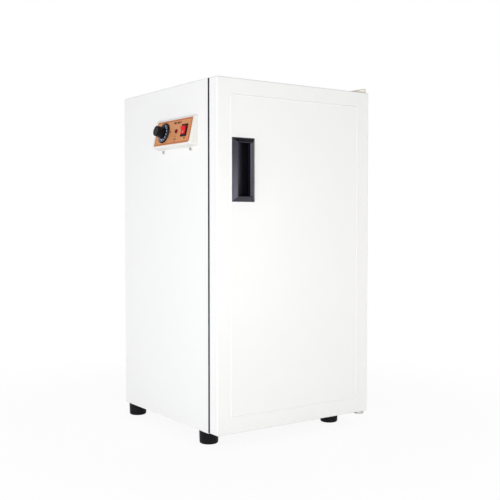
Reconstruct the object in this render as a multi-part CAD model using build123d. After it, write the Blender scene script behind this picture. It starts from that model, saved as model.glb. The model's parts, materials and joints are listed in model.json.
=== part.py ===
# Warming cabinet: a small upright heated cabinet with one solid door, hinged on the right.
# Lengths are in millimetres. +X is to the right, +Y to the back and +Z up. The origin lies on the
# floor, under the middle of the whole object.
from build123d import *
import math
import os

# Cabinet body
cabinet_width = 450
cabinet_depth = 412
cabinet_height = 800
foot_height = 30
wall = 35            # outside to chamber, at the sides, the top and the back
floor_wall = 45      # outside to chamber, at the bottom
steel = 1.0          # painted sheet
bend = 3.0           # outer radius of a bend in painted sheet
return_bend = 1.6    # outer radius where a return is folded in
front_return = 20    # folded inward round the front
rear_return = 16     # folded inward round the back
pan_side = 20        # upstand of the base pan against the side walls
cut_over = 1         # how far a cutting shape runs past what it cuts

# Chamber
liner_sheet = 0.8
liner_flange = 8
chamber_corner = 12
frame_rim = 6        # part of the throat frame that lies behind the steel returns
frame_back = 2       # thickness of that rim

# Door
door_thickness = 31
door_gap = 7         # rear of the door pan to the front of the body
door_clearance = 1   # the door is shorter than the body by this at top and bottom
door_return = 38
door_corner = 3
bead_inset = 35.5
bead_width = 4
bead_height = 0.9
bead_corner = 7
gasket_width = 12
gasket_inset = 2     # from the free edges of the door
gasket_rest = 0.3    # left between the gasket and the body
gasket_foot = 4
gasket_foot_thickness = 1
gasket_step = 1      # the foot and the waist lie this much inside the face
gasket_lip = 1       # rubber over the magnets
magnet_width = 7
magnet_thickness = 1.6
magnet_fit = 0.1
liner_thickness = 2
dyke_clearance = 8   # between the dyke and the throat of the body
dyke_height = 13
dyke_top = 24
dyke_draft = 2.5
liner_screw_offset = 8

# Hinge
pin_inset = 13       # from the right side of the door
pin_radius = 3
running_fit = 0.05
pin_reach = 14       # into the door
pin_head_radius = 5
pin_head_height = 3
bush_radius = 5.5
bush_flange_radius = 8
bush_wall_below_pin = 2
hinge_plate = 3
hinge_rim = 2.4      # wall turned down round the nose of the lower plate
hinge_rim_drop = 3.2
hinge_arm = 22
hinge_length = 62    # from the front of the body back along the top or the bottom
hinge_screw_places = (16, 34, 52)
anchor_margin = 7    # past the screws, to each side
anchor_thickness = 4
cover_wall = 1.3
cover_height = 9     # over the pin
cover_slope = 10     # degrees, down from the ridge
cover_ridge = 7.4      # from the pin towards the outer side
cover_edge_slope = 50  # degrees, down from the ridge to the outer side
cover_margin = 0.3
cover_tail = 14      # the cover runs back past the plate

# Flush pull
pull_width = 62.4
pull_height = 144
pull_inset = 38.8      # from the free edge of the door
pull_above = 522.3     # from the lower edge of the door
pull_rise = 9.2
pull_bevel = 10.5
pull_rim = 1.5
pull_throat = 11     # straight wall below the rim, before the pocket widens
pull_undercut = 5
pull_depth = 24      # below the face of the door
pull_wall = 2
pull_fit = 0.5
pull_joint = 1       # the shell starts this far in front of the face of the door
latch_length = 12
latch_rise = 1.5
latch_thickness = 3
latch_gap = 0.2      # behind the skin of the door

# Control housing
housing_length = 184
housing_from_front = 42
housing_below_top = 77
housing_height = 72
housing_top_reach = 6
housing_bottom_reach = 21
housing_bottom_rise = 5   # draft of the underside
housing_top_drop = 1
housing_end_draft = 3
housing_round = 4
housing_wall = 2.5
ear_width = 13
ear_drop = 10
ear_thickness = 2.5
ear_from_ends = 28.5
cutout_margin = 12

# Faceplate, lamp, switch and thermostat, measured on the sloped face from its middle
faceplate_length = 162
faceplate_height = 59
faceplate_shift = 2.5     # towards the front
faceplate_thickness = 0.8
faceplate_corner = 4
knob_place = -38
lamp_place = 19
switch_place = 55.5
skirt_radius = 24.5
skirt_thickness = 3.6
skirt_lift = 1.2     # above the faceplate
skirt_edge = 1.4     # straight part of its rim
grip_radius = 13.2
grip_height = 19.5
grip_taper = 2       # degrees
grip_round = 1.5
grip_wall = 2.5
grip_foot = 1        # overlap with the skirt
grip_flutes = 18
flute_radius = 1.1
shaft_radius = 3
shaft_length = 19    # above the face of the housing
shaft_flat = 0.8
neck_radius = 5
neck_height = 5.5
neck_gap = 1.5       # between the neck and the roof of the knob's hollow
shaft_step = 1       # the flat starts this far above the neck
nut_radius = 7
nut_height = 2.4
body_side = 40
body_depth = 21
lamp_radius = 5.2
lamp_dome = 3
lamp_barrel = 4.2
lamp_barrel_depth = 16
lamp_collar = 1.5
switch_length = 29.5
switch_width = 25.5
bezel_height = 2
rocker_length = 20
rocker_width = 18.4
rocker_gap = 0.4
rocker_tilt = 10
rocker_rise = 4.4
rocker_draft = 0.8   # each end leans in by this over its height
rocker_depth = 6
rocker_waist = 0.6   # share of the depth where the sides turn in
rocker_belly = 0.7   # share of the half length there
rocker_round = 0.8
rocker_clearance = 3 # below the rocker
pivot_radius = 1.5
pivot_length = 1.2
pivot_cover = 1.2    # plastic above the pivots
pivot_end_gap = 0.15
bezel_round = 1
switch_body_wall = 1.6
switch_body_depth = 17
terminal_length = 7
terminal_sheet = 0.8
terminal_width = 4.8
lamp_terminal_width = 3
terminal_pitch = 7

# Feet
foot_top_radius = 22.5
foot_bottom_radius = 21.5
foot_round = 4
foot_from_side = 21
foot_from_front = 31
foot_from_back = 29
hinge_foot_from_side = 68
foot_screw_radius = 3
foot_screw_head = 6
foot_recess_radius = 8
foot_web = 8         # plastic between the recess and the base
foot_nut_radius = 5.8
foot_nut_height = 5
foot_nut_space = 7   # radius kept free of insulation
foot_screw_spare = 1 # thread past the nut

# Shelves
pilaster_width = 20
pilaster_depth = 5
pilaster_from_ends = 55
pilaster_foot = 66   # above the chamber floor
pilaster_head = 14   # below the chamber roof
slot_pitch = 25
slot_width = 10
slot_height = 3.5
shelf_slots = (4, 11, 18)
clip_width = 9
clip_sheet = 1.5
clip_ledge = 11
clip_lug = 2.2
clip_height = 12
clip_fit = 0.3
shelf_side_gap = 2
shelf_end_gap = 9
shelf_frame_radius = 3
shelf_wire_radius = 1.5
shelf_wire_pitch = 24
shelf_corner = 14
weld_depth = 0.5

# Heater
heater_radius = 4
heater_lift = 20     # axis above the chamber floor
heater_legs = 6
heater_pitch = 54
heater_bend = 22
heater_front_gap = 40
heater_rear_gap = 46
gland_hex = 8
gland_thickness = 5
gland_neck = 5.5
heater_tail = 17     # behind the liner
support_sheet = 1.5
support_foot = 12
support_margin = 9
support_places = (0.18, 0.82)
guard_height = 48
guard_sheet = 1.0
guard_side_gap = 3
guard_front_gap = 16
guard_rear_gap = 5
guard_slot_length = 70
guard_slot_width = 8
guard_slot_pitch = 30

# Rear service space
service_margin = 24
service_height = 68
service_lift = 2
inlet_from_left = 118
inlet_lift = 36      # above the floor of the service space
inlet_flange_length = 50
inlet_flange_height = 23
inlet_flange = 2
inlet_body_length = 28
inlet_body_height = 20.5
inlet_body_depth = 21
inlet_wall = 2
inlet_fit = 0.5
inlet_corner = 2
inlet_key = 4        # the two cut corners of the socket
inlet_socket_depth = 17
inlet_blade_length = 11.5
inlet_blade_wide = 4
inlet_blade_thin = 2
inlet_blade_pitch = 14
inlet_blade_offset = 4
inlet_screw_pitch = 40
cutout_disc_radius = 12.5
cutout_disc_depth = 9
cutout_cap_radius = 8.75
cutout_terminal_width = 6
cutout_terminal_offset = 4
cutout_disc_from_right = 96

# Capillary and its bulb
capillary_radius = 1.2
capillary_bend = 8
capillary_turn = 6.4 # radius of its corners
capillary_lead = 12  # straight out of the thermostat
capillary_drop = 20
bulb_radius = 3.2
bulb_length = 78
bulb_standoff = 7
bulb_clip_width = 8
bulb_clip_wall = 1.5

# Wiring loom
loom_radius = 4
loom_bend = 14

# Small screws
screw_radius = 1.75
screw_head_radius = 3.5
screw_head_height = 2
screw_fit = 0.1
screw_reach = 4
panel_margin = 5     # from the outline of the body to the edge of the back panel

# Planes of the body
panel_tilt = math.degrees(
    math.atan2(
        housing_bottom_reach - housing_top_reach,
        housing_height - housing_bottom_rise - housing_top_drop,
    )
)
panel_reach = (housing_top_reach + housing_bottom_reach) / 2
knob_height = faceplate_thickness + skirt_lift + skirt_thickness + grip_height
reach_left = (
    panel_reach
    + knob_height * math.cos(math.radians(panel_tilt))
    + grip_radius * math.sin(math.radians(panel_tilt))
)
reach_front = door_gap + door_thickness + pull_rise
reach_back = steel + screw_head_height
left = (reach_left - cabinet_width) / 2
right = left + cabinet_width
front = (reach_front - cabinet_depth - reach_back) / 2
back = front + cabinet_depth
bottom = foot_height
top = bottom + cabinet_height

# Planes of the chamber
chamber_left = left + wall
chamber_right = right - wall
chamber_back = back - wall
chamber_bottom = bottom + floor_wall
chamber_top = top - wall
chamber_middle = (chamber_left + chamber_right) / 2
liner_front = front + steel + frame_back
frame_face = wall - front_return

# Planes of the door
door_rear = front - door_gap
door_front = door_rear - door_thickness
door_bottom = bottom + door_clearance
door_top = top - door_clearance
pin_x = right - pin_inset
pin_y = (door_front + door_rear) / 2
gasket_left = left + gasket_inset
gasket_right = pin_x - gasket_rest
gasket_bottom = door_bottom + gasket_inset
gasket_top = door_top - gasket_inset
gasket_face = front - gasket_rest
liner_plane = door_rear + gasket_foot_thickness
magnet_y = (gasket_face - gasket_lip - magnet_thickness, gasket_face - gasket_lip)

# Plane of the sloped control face, with its x towards the front and its y up the slope
housing_top = top - housing_below_top
housing_bottom = housing_top - housing_height
housing_middle = front + housing_from_front + housing_length / 2
slope = math.radians(panel_tilt)
panel = Plane(
    origin=(
        left - panel_reach,
        housing_middle,
        (housing_top - housing_top_drop + housing_bottom + housing_bottom_rise) / 2,
    ),
    x_dir=(0, -1, 0),
    z_dir=(-math.cos(slope), 0, math.sin(slope)),
)


def block(xs, ys, zs):
    """A box between two planes on each axis."""
    middle = Pos(sum(xs) / 2, sum(ys) / 2, sum(zs) / 2)
    return middle * Box(xs[1] - xs[0], ys[1] - ys[0], zs[1] - zs[0])


def grown(span, amount):
    """A span with both ends moved outward."""
    return (span[0] - amount, span[1] + amount)


def ring(xs, ys, zs, width):
    """A rectangular frame seen from the front."""
    return block(xs, ys, zs) - block(grown(xs, -width), grown(ys, cut_over), grown(zs, -width))


def tapered(xs, zs, y_base, y_end, inset, corner):
    """A solid with a rounded rectangle at each end, the far one smaller by the inset."""
    width = xs[1] - xs[0]
    height = zs[1] - zs[0]
    outward = (0, -1, 0) if y_end < y_base else (0, 1, 0)
    base_plane = Plane((sum(xs) / 2, y_base, sum(zs) / 2), x_dir=(1, 0, 0), z_dir=outward)
    end_plane = Plane((sum(xs) / 2, y_end, sum(zs) / 2), x_dir=(1, 0, 0), z_dir=outward)
    base = base_plane * RectangleRounded(width, height, corner)
    end = end_plane * RectangleRounded(width - 2 * inset, height - 2 * inset, corner)
    return loft([base, end])


def rod(start, end, radius):
    """A round bar between two points."""
    path = Vector(*end) - Vector(*start)
    return Plane(start, z_dir=path) * extrude(Circle(radius), path.length)


def tube(points, bend_radius, radius):
    """A round bar swept along straight runs with rounded corners."""
    path = FilletPolyline(*points, radius=bend_radius)
    start = Plane(path @ 0, z_dir=path % 0)
    return sweep(start * Circle(radius), path=path)


def screw(shank):
    """A pan-head screw that points down from the plane it is placed on."""
    head = extrude(Circle(screw_head_radius), screw_head_height)
    head = fillet(head.edges().group_by(Axis.Z)[-1], screw_head_height / 2)
    return head + extrude(Circle(screw_radius), -shank)


def screw_hole(depth):
    """The clearance hole for the shank of a small screw."""
    return Pos(0, 0, -depth / 2) * Cylinder(screw_radius + screw_fit, depth + 2 * cut_over)


def at_each(places, shape):
    """Copies of one shape, one for each place."""
    return [place * shape for place in places]


def facing(point, direction):
    """A place whose z looks along a direction."""
    return Plane(point, z_dir=direction).location


# Painted body

control_cutout_y = (
    front + housing_from_front + cutout_margin,
    front + housing_from_front + housing_length - cutout_margin,
)
control_cutout_z = (housing_bottom + cutout_margin, housing_top - cutout_margin)
ear_places = [
    (left, front + housing_from_front + along, housing_bottom - ear_drop / 2)
    for along in (ear_from_ends, housing_length - ear_from_ends)
]
hinge_screw_points = [(pin_x, front + place) for place in hinge_screw_places]
panel_x = (left + panel_margin, right - panel_margin)
panel_z = (bottom + panel_margin, top - panel_margin)
back_screw_inset = rear_return / 2 + panel_margin / 2


def back_screw_points():
    """Screws round the back panel, four up each side and two between along the top and bottom."""
    xs = (left + back_screw_inset, right - back_screw_inset)
    zs = (bottom + back_screw_inset, top - back_screw_inset)
    step = (zs[1] - zs[0]) / 3
    sides = [(x, zs[0] + step * i) for x in xs for i in range(4)]
    third = (xs[1] - xs[0]) / 3
    ends = [(xs[0] + third * i, z) for z in zs for i in (1, 2)]
    return sides + ends


def back_screw_holes():
    """Clearance for the back panel's screws through panel, return and insulation."""
    deep = screw_hole(2 * steel + screw_reach)
    return at_each([facing((x, back + steel, z), (0, 1, 0)) for x, z in back_screw_points()], deep)


def outer_wrap():
    """One sheet folded over the sides and top, with returns round the front and back."""
    shell = block((left, right), (front, back), (bottom, top))
    shell = fillet(shell.edges().filter_by(Axis.Y).group_by(Axis.Z)[-1], bend)
    for end in (0, -1):
        folds = shell.faces().sort_by(Axis.Y)[end].outer_wire().edges().sort_by(Axis.Z)[1:]
        shell = fillet(folds, return_bend)
    hollow = block(
        (left + steel, right - steel),
        (front + steel, back - steel),
        (bottom - cut_over, top - steel),
    )
    hollow = fillet(hollow.edges().filter_by(Axis.Y).group_by(Axis.Z)[-1], bend - steel)
    mouth = block(
        (left + front_return, right - front_return),
        (front - cut_over, front + 2 * steel),
        (bottom - cut_over, top - front_return),
    )
    rear = block(
        (left + rear_return, right - rear_return),
        (back - 2 * steel, back + cut_over),
        (bottom - cut_over, top - rear_return),
    )
    window = block((left - cut_over, left + 2 * steel), control_cutout_y, control_cutout_z)
    window = fillet(window.edges().filter_by(Axis.X), housing_round)
    shell = shell - hollow - mouth - rear - window
    ear_holes = at_each([facing(point, (-1, 0, 0)) for point in ear_places], screw_hole(steel))
    hinge_holes = at_each(
        [facing((x, y, top), (0, 0, 1)) for x, y in hinge_screw_points], screw_hole(steel)
    )
    return shell - ear_holes - hinge_holes - back_screw_holes()


def base_pan():
    """The folded floor of the body, with upstands that close the front and back below the door."""
    floor = block((left + steel, right - steel), (front + steel, back - steel), (bottom, bottom + steel))
    sides = [
        block(xs, (front + steel, back - steel), (bottom, bottom + pan_side))
        for xs in ((left + steel, left + 2 * steel), (right - 2 * steel, right - steel))
    ]
    front_lip = block(
        (left + front_return, right - front_return),
        (front, front + 2 * steel),
        (bottom, chamber_bottom - frame_face),
    )
    front_lip -= block((left, right), (front + steel, front + 3 * steel), (bottom + 2 * steel, top))
    rear_lip = block(
        (left + rear_return, right - rear_return),
        (back - steel, back),
        (bottom, bottom + pan_side + panel_margin),
    )
    rear_joint = block(
        (left + rear_return, right - rear_return), (back - 2 * steel, back), (bottom, bottom + steel)
    )
    pan = floor + sides + front_lip + rear_lip + rear_joint
    foot_holes = at_each(
        [facing((x, y, bottom), (0, 0, -1)) for x, y in foot_points()],
        Cylinder(foot_screw_radius + screw_fit, 4 * steel),
    )
    hinge_holes = at_each(
        [facing((x, y, bottom), (0, 0, -1)) for x, y in hinge_screw_points], screw_hole(steel)
    )
    return pan - foot_holes - hinge_holes - back_screw_holes()


def inlet_middle():
    """Where the mains inlet sits in the back panel."""
    return (left + inlet_from_left, back + steel, service_z()[0] + inlet_lift)


def inlet_screw_holes(depth):
    """Holes beside the mains inlet for its two screws."""
    x, y, z = inlet_middle()
    places = [facing((x + side * inlet_screw_pitch / 2, y, z), (0, 1, 0)) for side in (-1, 1)]
    return at_each(places, screw_hole(depth))


def back_panel():
    """The flat rear sheet, screwed to the returns, with the opening for the mains inlet."""
    sheet = block(panel_x, (back, back + steel), panel_z)
    sheet = fillet(sheet.edges().filter_by(Axis.Y), bend)
    x, y, z = inlet_middle()
    window = block(
        grown((x, x), inlet_body_length / 2 + inlet_fit),
        (back - cut_over, back + steel + cut_over),
        grown((z, z), inlet_body_height / 2 + inlet_fit),
    )
    return sheet - window - inlet_screw_holes(steel) - back_screw_holes()


def back_screws():
    """The screws of the back panel."""
    places = [facing((x, back + steel, z), (0, 1, 0)) for x, z in back_screw_points()]
    return Compound(children=at_each(places, screw(2 * steel + screw_reach)))


# Throat, chamber and insulation

def chamber_space(amount, y_front, y_back):
    """The chamber's rounded section between two planes, grown by an amount all round."""
    space = block(
        grown((chamber_left, chamber_right), amount),
        (y_front, y_back),
        grown((chamber_bottom, chamber_top), amount),
    )
    return fillet(space.edges().filter_by(Axis.Y), chamber_corner + amount)


def throat_frame():
    """The moulded frame between the steel returns and the chamber liner."""
    xs = (left + front_return, right - front_return)
    zs = (chamber_bottom - frame_face, top - front_return)
    face = block(xs, (front, liner_front), zs)
    rim = block(grown(xs, frame_rim), (front + steel, liner_front), grown(zs, frame_rim))
    rim -= block((left, right), (front, front + 2 * steel), (bottom, zs[0]))
    throat = chamber_space(0, front - cut_over, liner_front + cut_over)
    return face + rim - throat


def pilaster_x(side):
    """Wall side and room side of a pilaster, for the left (-1) or right (1) wall."""
    wall_x = chamber_left if side < 0 else chamber_right
    return wall_x, wall_x - side * pilaster_depth


def pilaster_y(end):
    """Middle of a pilaster near the front (0) or the back (1)."""
    ends = (liner_front + pilaster_from_ends, chamber_back - pilaster_from_ends)
    return ends[end]


pilaster_z = (chamber_bottom + pilaster_foot, chamber_top - pilaster_head)
pilaster_screw_z = (pilaster_z[0] + slot_pitch / 2, pilaster_z[1] - slot_pitch / 2)


def pilaster_screw_places():
    """Two screws for each pilaster, pointing into the walls."""
    return [
        facing((pilaster_x(side)[1], pilaster_y(end), z), (-side, 0, 0))
        for side in (-1, 1)
        for end in (0, 1)
        for z in pilaster_screw_z
    ]


def pilaster_holes():
    """The holes for those screws through pilaster, liner and insulation."""
    return at_each(pilaster_screw_places(), screw_hole(pilaster_depth + screw_reach))


def heater_xs():
    """The middles of the heater's legs."""
    half = heater_pitch * (heater_legs - 1) / 2
    return [chamber_middle - half + heater_pitch * i for i in range(heater_legs)]


def heater_z():
    """Height of the heater's axis."""
    return chamber_bottom + heater_lift


def gland_places():
    """Where the heater's two ends pass through the rear of the liner."""
    ends = (heater_xs()[0], heater_xs()[-1])
    return [facing((x, chamber_back, heater_z()), (0, -1, 0)) for x in ends]


def disc_place():
    """The middle of the thermal cut-out on the rear of the liner."""
    x = heater_xs()[-1] - cutout_disc_from_right
    return facing((x, chamber_back + liner_sheet, heater_z() + heater_lift / 2), (0, 1, 0))


def capillary_entry():
    """Where the capillary goes through the left wall of the liner."""
    return (chamber_left, housing_middle - knob_place, housing_bottom - capillary_drop)


def inner_liner():
    """The stainless chamber, open at the front, with a flange behind the throat frame."""
    outside = chamber_space(liner_sheet, liner_front, chamber_back + liner_sheet)
    flange = chamber_space(liner_flange, liner_front, liner_front + liner_sheet)
    hollow = chamber_space(0, liner_front - cut_over, chamber_back)
    glands = at_each(gland_places(), Cylinder(gland_neck + screw_fit, 4 * cut_over))
    x, y, z = capillary_entry()
    entry = rod((x - 2 * cut_over, y, z), (x + cut_over, y, z), 2 * capillary_radius)
    return outside + flange - hollow - glands - entry - pilaster_holes()


def service_z():
    """Bottom and top of the space behind the chamber that holds the mains parts."""
    low = chamber_bottom + service_lift
    return (low, low + service_height)


def service_x():
    """Left and right of that space."""
    return (heater_xs()[0] - service_margin, heater_xs()[-1] + service_margin)


def control_space():
    """The hollow in the insulation behind the control housing."""
    return block(
        (left, left + wall - 2 * service_lift),
        grown(control_cutout_y, service_lift),
        grown(control_cutout_z, service_lift),
    )


def loom_route():
    """The wires' way from the mains inlet, forward in the left wall and up behind the lamp."""
    x, y, z = inlet_middle()
    side = left + wall / 2
    low = z - inlet_body_height
    turn = back - wall / 2
    rise = housing_middle - lamp_place
    return [
        (service_x()[0] + service_margin / 2, turn, low),
        (side, turn, low),
        (side, rise, low),
        (side, rise, control_cutout_z[0] + service_lift),
    ]


def insulation():
    """The fill between the wrap and the liner, cut clear of everything that lies in it."""
    fill = block((left + steel, right - steel), (liner_front, back), (bottom + steel, top - steel))
    fill = fillet(fill.edges().filter_by(Axis.Y).group_by(Axis.Z)[-1], bend)
    rear_opening = block(
        (left + rear_return, right - rear_return),
        (back - steel, back),
        (bottom + pan_side + panel_margin, top - rear_return),
    )
    fill -= block((left, right), (back - steel, back), (bottom, top)) - rear_opening
    fill -= block(
        grown((chamber_left, chamber_right), liner_sheet),
        (liner_front, chamber_back + liner_sheet),
        grown((chamber_bottom, chamber_top), liner_sheet),
    )
    fill -= block(
        grown((chamber_left, chamber_right), liner_flange),
        (liner_front, liner_front + liner_sheet),
        grown((chamber_bottom, chamber_top), liner_flange),
    )
    for xs in ((left, left + 2 * steel), (right - 2 * steel, right)):
        fill -= block(xs, (front, back), (bottom, bottom + pan_side))
    fill -= block((left, right), (back - 2 * steel, back), (bottom, bottom + steel * 2))
    fill -= control_space()
    fill -= block(service_x(), (chamber_back, back + cut_over), service_z())
    fill -= tube(loom_route(), loom_bend, loom_radius)
    x, y, z = capillary_entry()
    fill -= block(
        (left + wall / 2, x),
        grown((y, y), bulb_standoff),
        (z - bulb_standoff, control_cutout_z[1]),
    )
    fill -= [anchor_plate(level) for level in (0, 1)]
    fill -= housing_screws()
    nut_space = Pos(0, 0, foot_nut_height / 2) * Cylinder(foot_nut_space, foot_nut_height + 2 * steel)
    fill -= [Pos(x, y, bottom + steel) * nut_space for x, y in foot_points()]
    return fill - pilaster_holes() - back_screw_holes()


# Hinges

def anchor_plate(level):
    """The plate inside the body that takes the screws of the lower (0) or upper (1) hinge."""
    ys = grown((front + hinge_screw_places[0], front + hinge_screw_places[-1]), anchor_margin)
    zs = (
        (bottom + steel, bottom + steel + anchor_thickness),
        (top - steel - anchor_thickness, top - steel),
    )[level]
    plate = block(grown((pin_x, pin_x), anchor_margin), ys, zs)
    return fillet(plate.edges().filter_by(Axis.Z), bend)


def anchor(level):
    """That plate, drilled for the screws."""
    z = (bottom, top)[level]
    deep = Cylinder(screw_radius + screw_fit, 4 * anchor_thickness)
    return anchor_plate(level) - [Pos(x, y, z) * deep for x, y in hinge_screw_points]


def hinge_outline(grow, tail):
    """The hinge plate's outline from above: straight sides and a round end about the pin."""
    radius = hinge_arm / 2 + grow
    length = front + hinge_length + tail - pin_y
    arm = Pos(pin_x, pin_y + length / 2) * Rectangle(2 * radius, length)
    return arm + Pos(pin_x, pin_y) * Circle(radius)


def hinge_arm_plate(z_low):
    """A flat hinge plate with holes for its pin and screws."""
    plate = Pos(0, 0, z_low) * extrude(hinge_outline(0, 0), hinge_plate)
    plate = fillet(plate.edges().filter_by(Axis.Z).group_by(Axis.Y)[-1], bend)
    middle = z_low + hinge_plate / 2
    pin = Pos(pin_x, pin_y, middle) * Cylinder(pin_radius, 2 * hinge_plate)
    hole = Cylinder(screw_radius + screw_fit, 2 * hinge_plate)
    return plate - pin - [Pos(x, y, middle) * hole for x, y in hinge_screw_points]


def lower_hinge_plate():
    """The lower plate, with its edge turned down round the nose in front of the body."""
    low = bottom - hinge_plate
    rim = Pos(0, 0, low) * extrude(hinge_outline(0, 0) - hinge_outline(-hinge_rim, 0), -hinge_rim_drop)
    behind = block((left, right), (front - door_gap, back), (0, low))
    return hinge_arm_plate(low) + (rim - behind)


def hinge_pin(level):
    """A headed pin that reaches from the plate into the door."""
    if level:
        head = Pos(pin_x, pin_y, top + hinge_plate)
        reach = -(hinge_plate + door_clearance + pin_reach)
        head_height = pin_head_height
    else:
        head = Pos(pin_x, pin_y, bottom - hinge_plate)
        reach = hinge_plate + door_clearance + pin_reach
        head_height = -pin_head_height
    shank = extrude(Circle(pin_radius), reach)
    shank = chamfer(shank.edges().sort_by(Axis.Z)[0 if level else -1], pin_radius / 4)
    knob = extrude(Circle(pin_head_radius), head_height)
    knob = fillet(knob.edges().sort_by(Axis.Z)[-1 if level else 0], pin_head_height / 3)
    return head * (shank + knob)


def hinge_screws():
    """The screws of both hinge plates."""
    places = [facing((x, y, top + hinge_plate), (0, 0, 1)) for x, y in hinge_screw_points]
    places += [facing((x, y, bottom - hinge_plate), (0, 0, -1)) for x, y in hinge_screw_points]
    return Compound(children=at_each(places, screw(hinge_plate + steel + anchor_thickness)))


def under_ridge(outline, inset):
    """An outline raised to a roof with a ridge near the outer side, inset from the outer skin."""
    height = cover_height - inset
    ridge = cover_ridge - inset / 2
    raised = Pos(0, 0, top) * extrude(outline, 2 * height)
    above = Box(4 * hinge_arm, 4 * hinge_length, 2 * height, align=(Align.CENTER, Align.CENTER, Align.MIN))
    crest = top + height + ridge * math.tan(math.radians(cover_slope))
    roof, edge = (
        Pos(pin_x + ridge, pin_y, crest) * Rot(0, slope, 0) * above
        for slope in (-cover_slope, cover_edge_slope)
    )
    return raised - roof - edge


def hinge_cover():
    """The moulded cap over the upper hinge plate, its pin head and screws."""
    outside = under_ridge(hinge_outline(cover_margin + cover_wall, cover_tail), 0)
    outside = fillet(outside.edges().filter_by(Axis.Z).group_by(Axis.Y)[-1], bend)
    outside = fillet(outside.faces().sort_by(Axis.Z)[-1].outer_wire().edges(), bend)
    inside = under_ridge(hinge_outline(cover_margin, cover_tail - cover_wall), cover_wall)
    return outside - inside


def door_bush(level):
    """A plastic sleeve with a flange that the door turns on."""
    depth = pin_reach + bush_wall_below_pin
    flange = door_clearance if level == 0 else door_clearance - gasket_rest
    if level:
        place = Plane((pin_x, pin_y, door_top), z_dir=(0, 0, 1))
    else:
        place = Plane((pin_x, pin_y, door_bottom), z_dir=(0, 0, -1))
    sleeve = extrude(Circle(bush_flange_radius), flange) + extrude(Circle(bush_radius), -depth)
    bore = Cylinder(pin_radius + running_fit, flange + pin_reach + 2 * running_fit)
    bore = Pos(0, 0, (flange - pin_reach) / 2) * bore
    return place * (sleeve - bore)


# Door

def door_solid(inset, y_rear):
    """The door's rounded body, inset from its outer skin and cut off at a rear plane."""
    body = block(
        grown((left, right), -inset),
        (door_front + inset, y_rear),
        grown((door_bottom, door_top), -inset),
    )
    radius = door_corner - inset
    body = fillet(body.edges().filter_by(Axis.Y), radius)
    return fillet(body.faces().sort_by(Axis.Y)[0].outer_wire().edges(), radius * 0.9)


def liner_screw_points():
    """Screws round the rear of the door, just inside the gasket."""
    inset = gasket_width + liner_screw_offset
    xs = grown((gasket_left, gasket_right), -inset)
    zs = grown((gasket_bottom, gasket_top), -inset)
    third = (zs[1] - zs[0]) / 3
    sides = [(x, zs[0] + third * i) for x in xs for i in range(4)]
    return sides + [(sum(xs) / 2, z) for z in zs]


def liner_screw_places():
    """Places of those screws on the rear face of the door liner."""
    return [facing((x, liner_plane + liner_thickness, z), (0, 1, 0)) for x, z in liner_screw_points()]


def liner_screw_depth():
    """From the face of the liner through the return of the door pan."""
    return liner_thickness + gasket_foot_thickness + steel + screw_reach


def bead():
    """The pressed bead round the face of the door."""
    xs = grown((left, right), -bead_inset)
    zs = grown((door_bottom, door_top), -bead_inset)
    crest = door_front - bead_height
    flank = bead_width / 3
    outside = tapered(xs, zs, door_front + steel / 2, crest, flank, bead_corner)
    inner_x = grown(xs, -bead_width)
    inner_z = grown(zs, -bead_width)
    inside = tapered(inner_x, inner_z, door_front + steel / 2, crest - cut_over, -flank, bead_corner)
    return outside - inside


def pull_middle():
    """Middle of the flush pull on the face of the door."""
    return (left + pull_inset + pull_width / 2, door_bottom + pull_above + pull_height / 2)


def pull_spans(margin):
    """Width and height of the pull, grown by a margin."""
    x, z = pull_middle()
    return grown((x, x), pull_width / 2 + margin), grown((z, z), pull_height / 2 + margin)


pull_opening_inset = pull_bevel + pull_rim
pull_pocket_inset = pull_opening_inset - pull_undercut
pull_shell_inset = pull_pocket_inset - pull_wall


def door_skin():
    """The painted pan of the door, folded in round the rear, with its bead and the hole for the pull."""
    pan = door_solid(0, door_rear) + bead()
    pan -= door_solid(steel, door_rear - steel)
    pan -= block(
        grown((left, right), -door_return),
        (door_rear - 2 * steel, door_rear + cut_over),
        grown((door_bottom, door_top), -door_return),
    )
    xs, zs = pull_spans(pull_fit - pull_shell_inset)
    pan -= block(xs, (door_front - cut_over, door_front + 2 * steel), zs)
    for z in (door_bottom, door_top):
        pan -= Pos(pin_x, pin_y, z) * Cylinder(bush_radius, 4 * steel)
    return pan - at_each(liner_screw_places(), screw_hole(liner_screw_depth()))


def door_foam():
    """The fill of the door."""
    fill = door_solid(steel, door_rear - steel)
    xs, zs = pull_spans(latch_rise + pull_fit - pull_shell_inset)
    fill -= block(xs, (door_front, door_front + pull_depth + pull_wall + pull_fit), zs)
    depth = pin_reach + bush_wall_below_pin
    for z in (door_bottom, door_top):
        fill -= Pos(pin_x, pin_y, z) * Cylinder(bush_radius, 2 * depth)
    return fill - at_each(liner_screw_places(), screw_hole(liner_screw_depth()))


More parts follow.
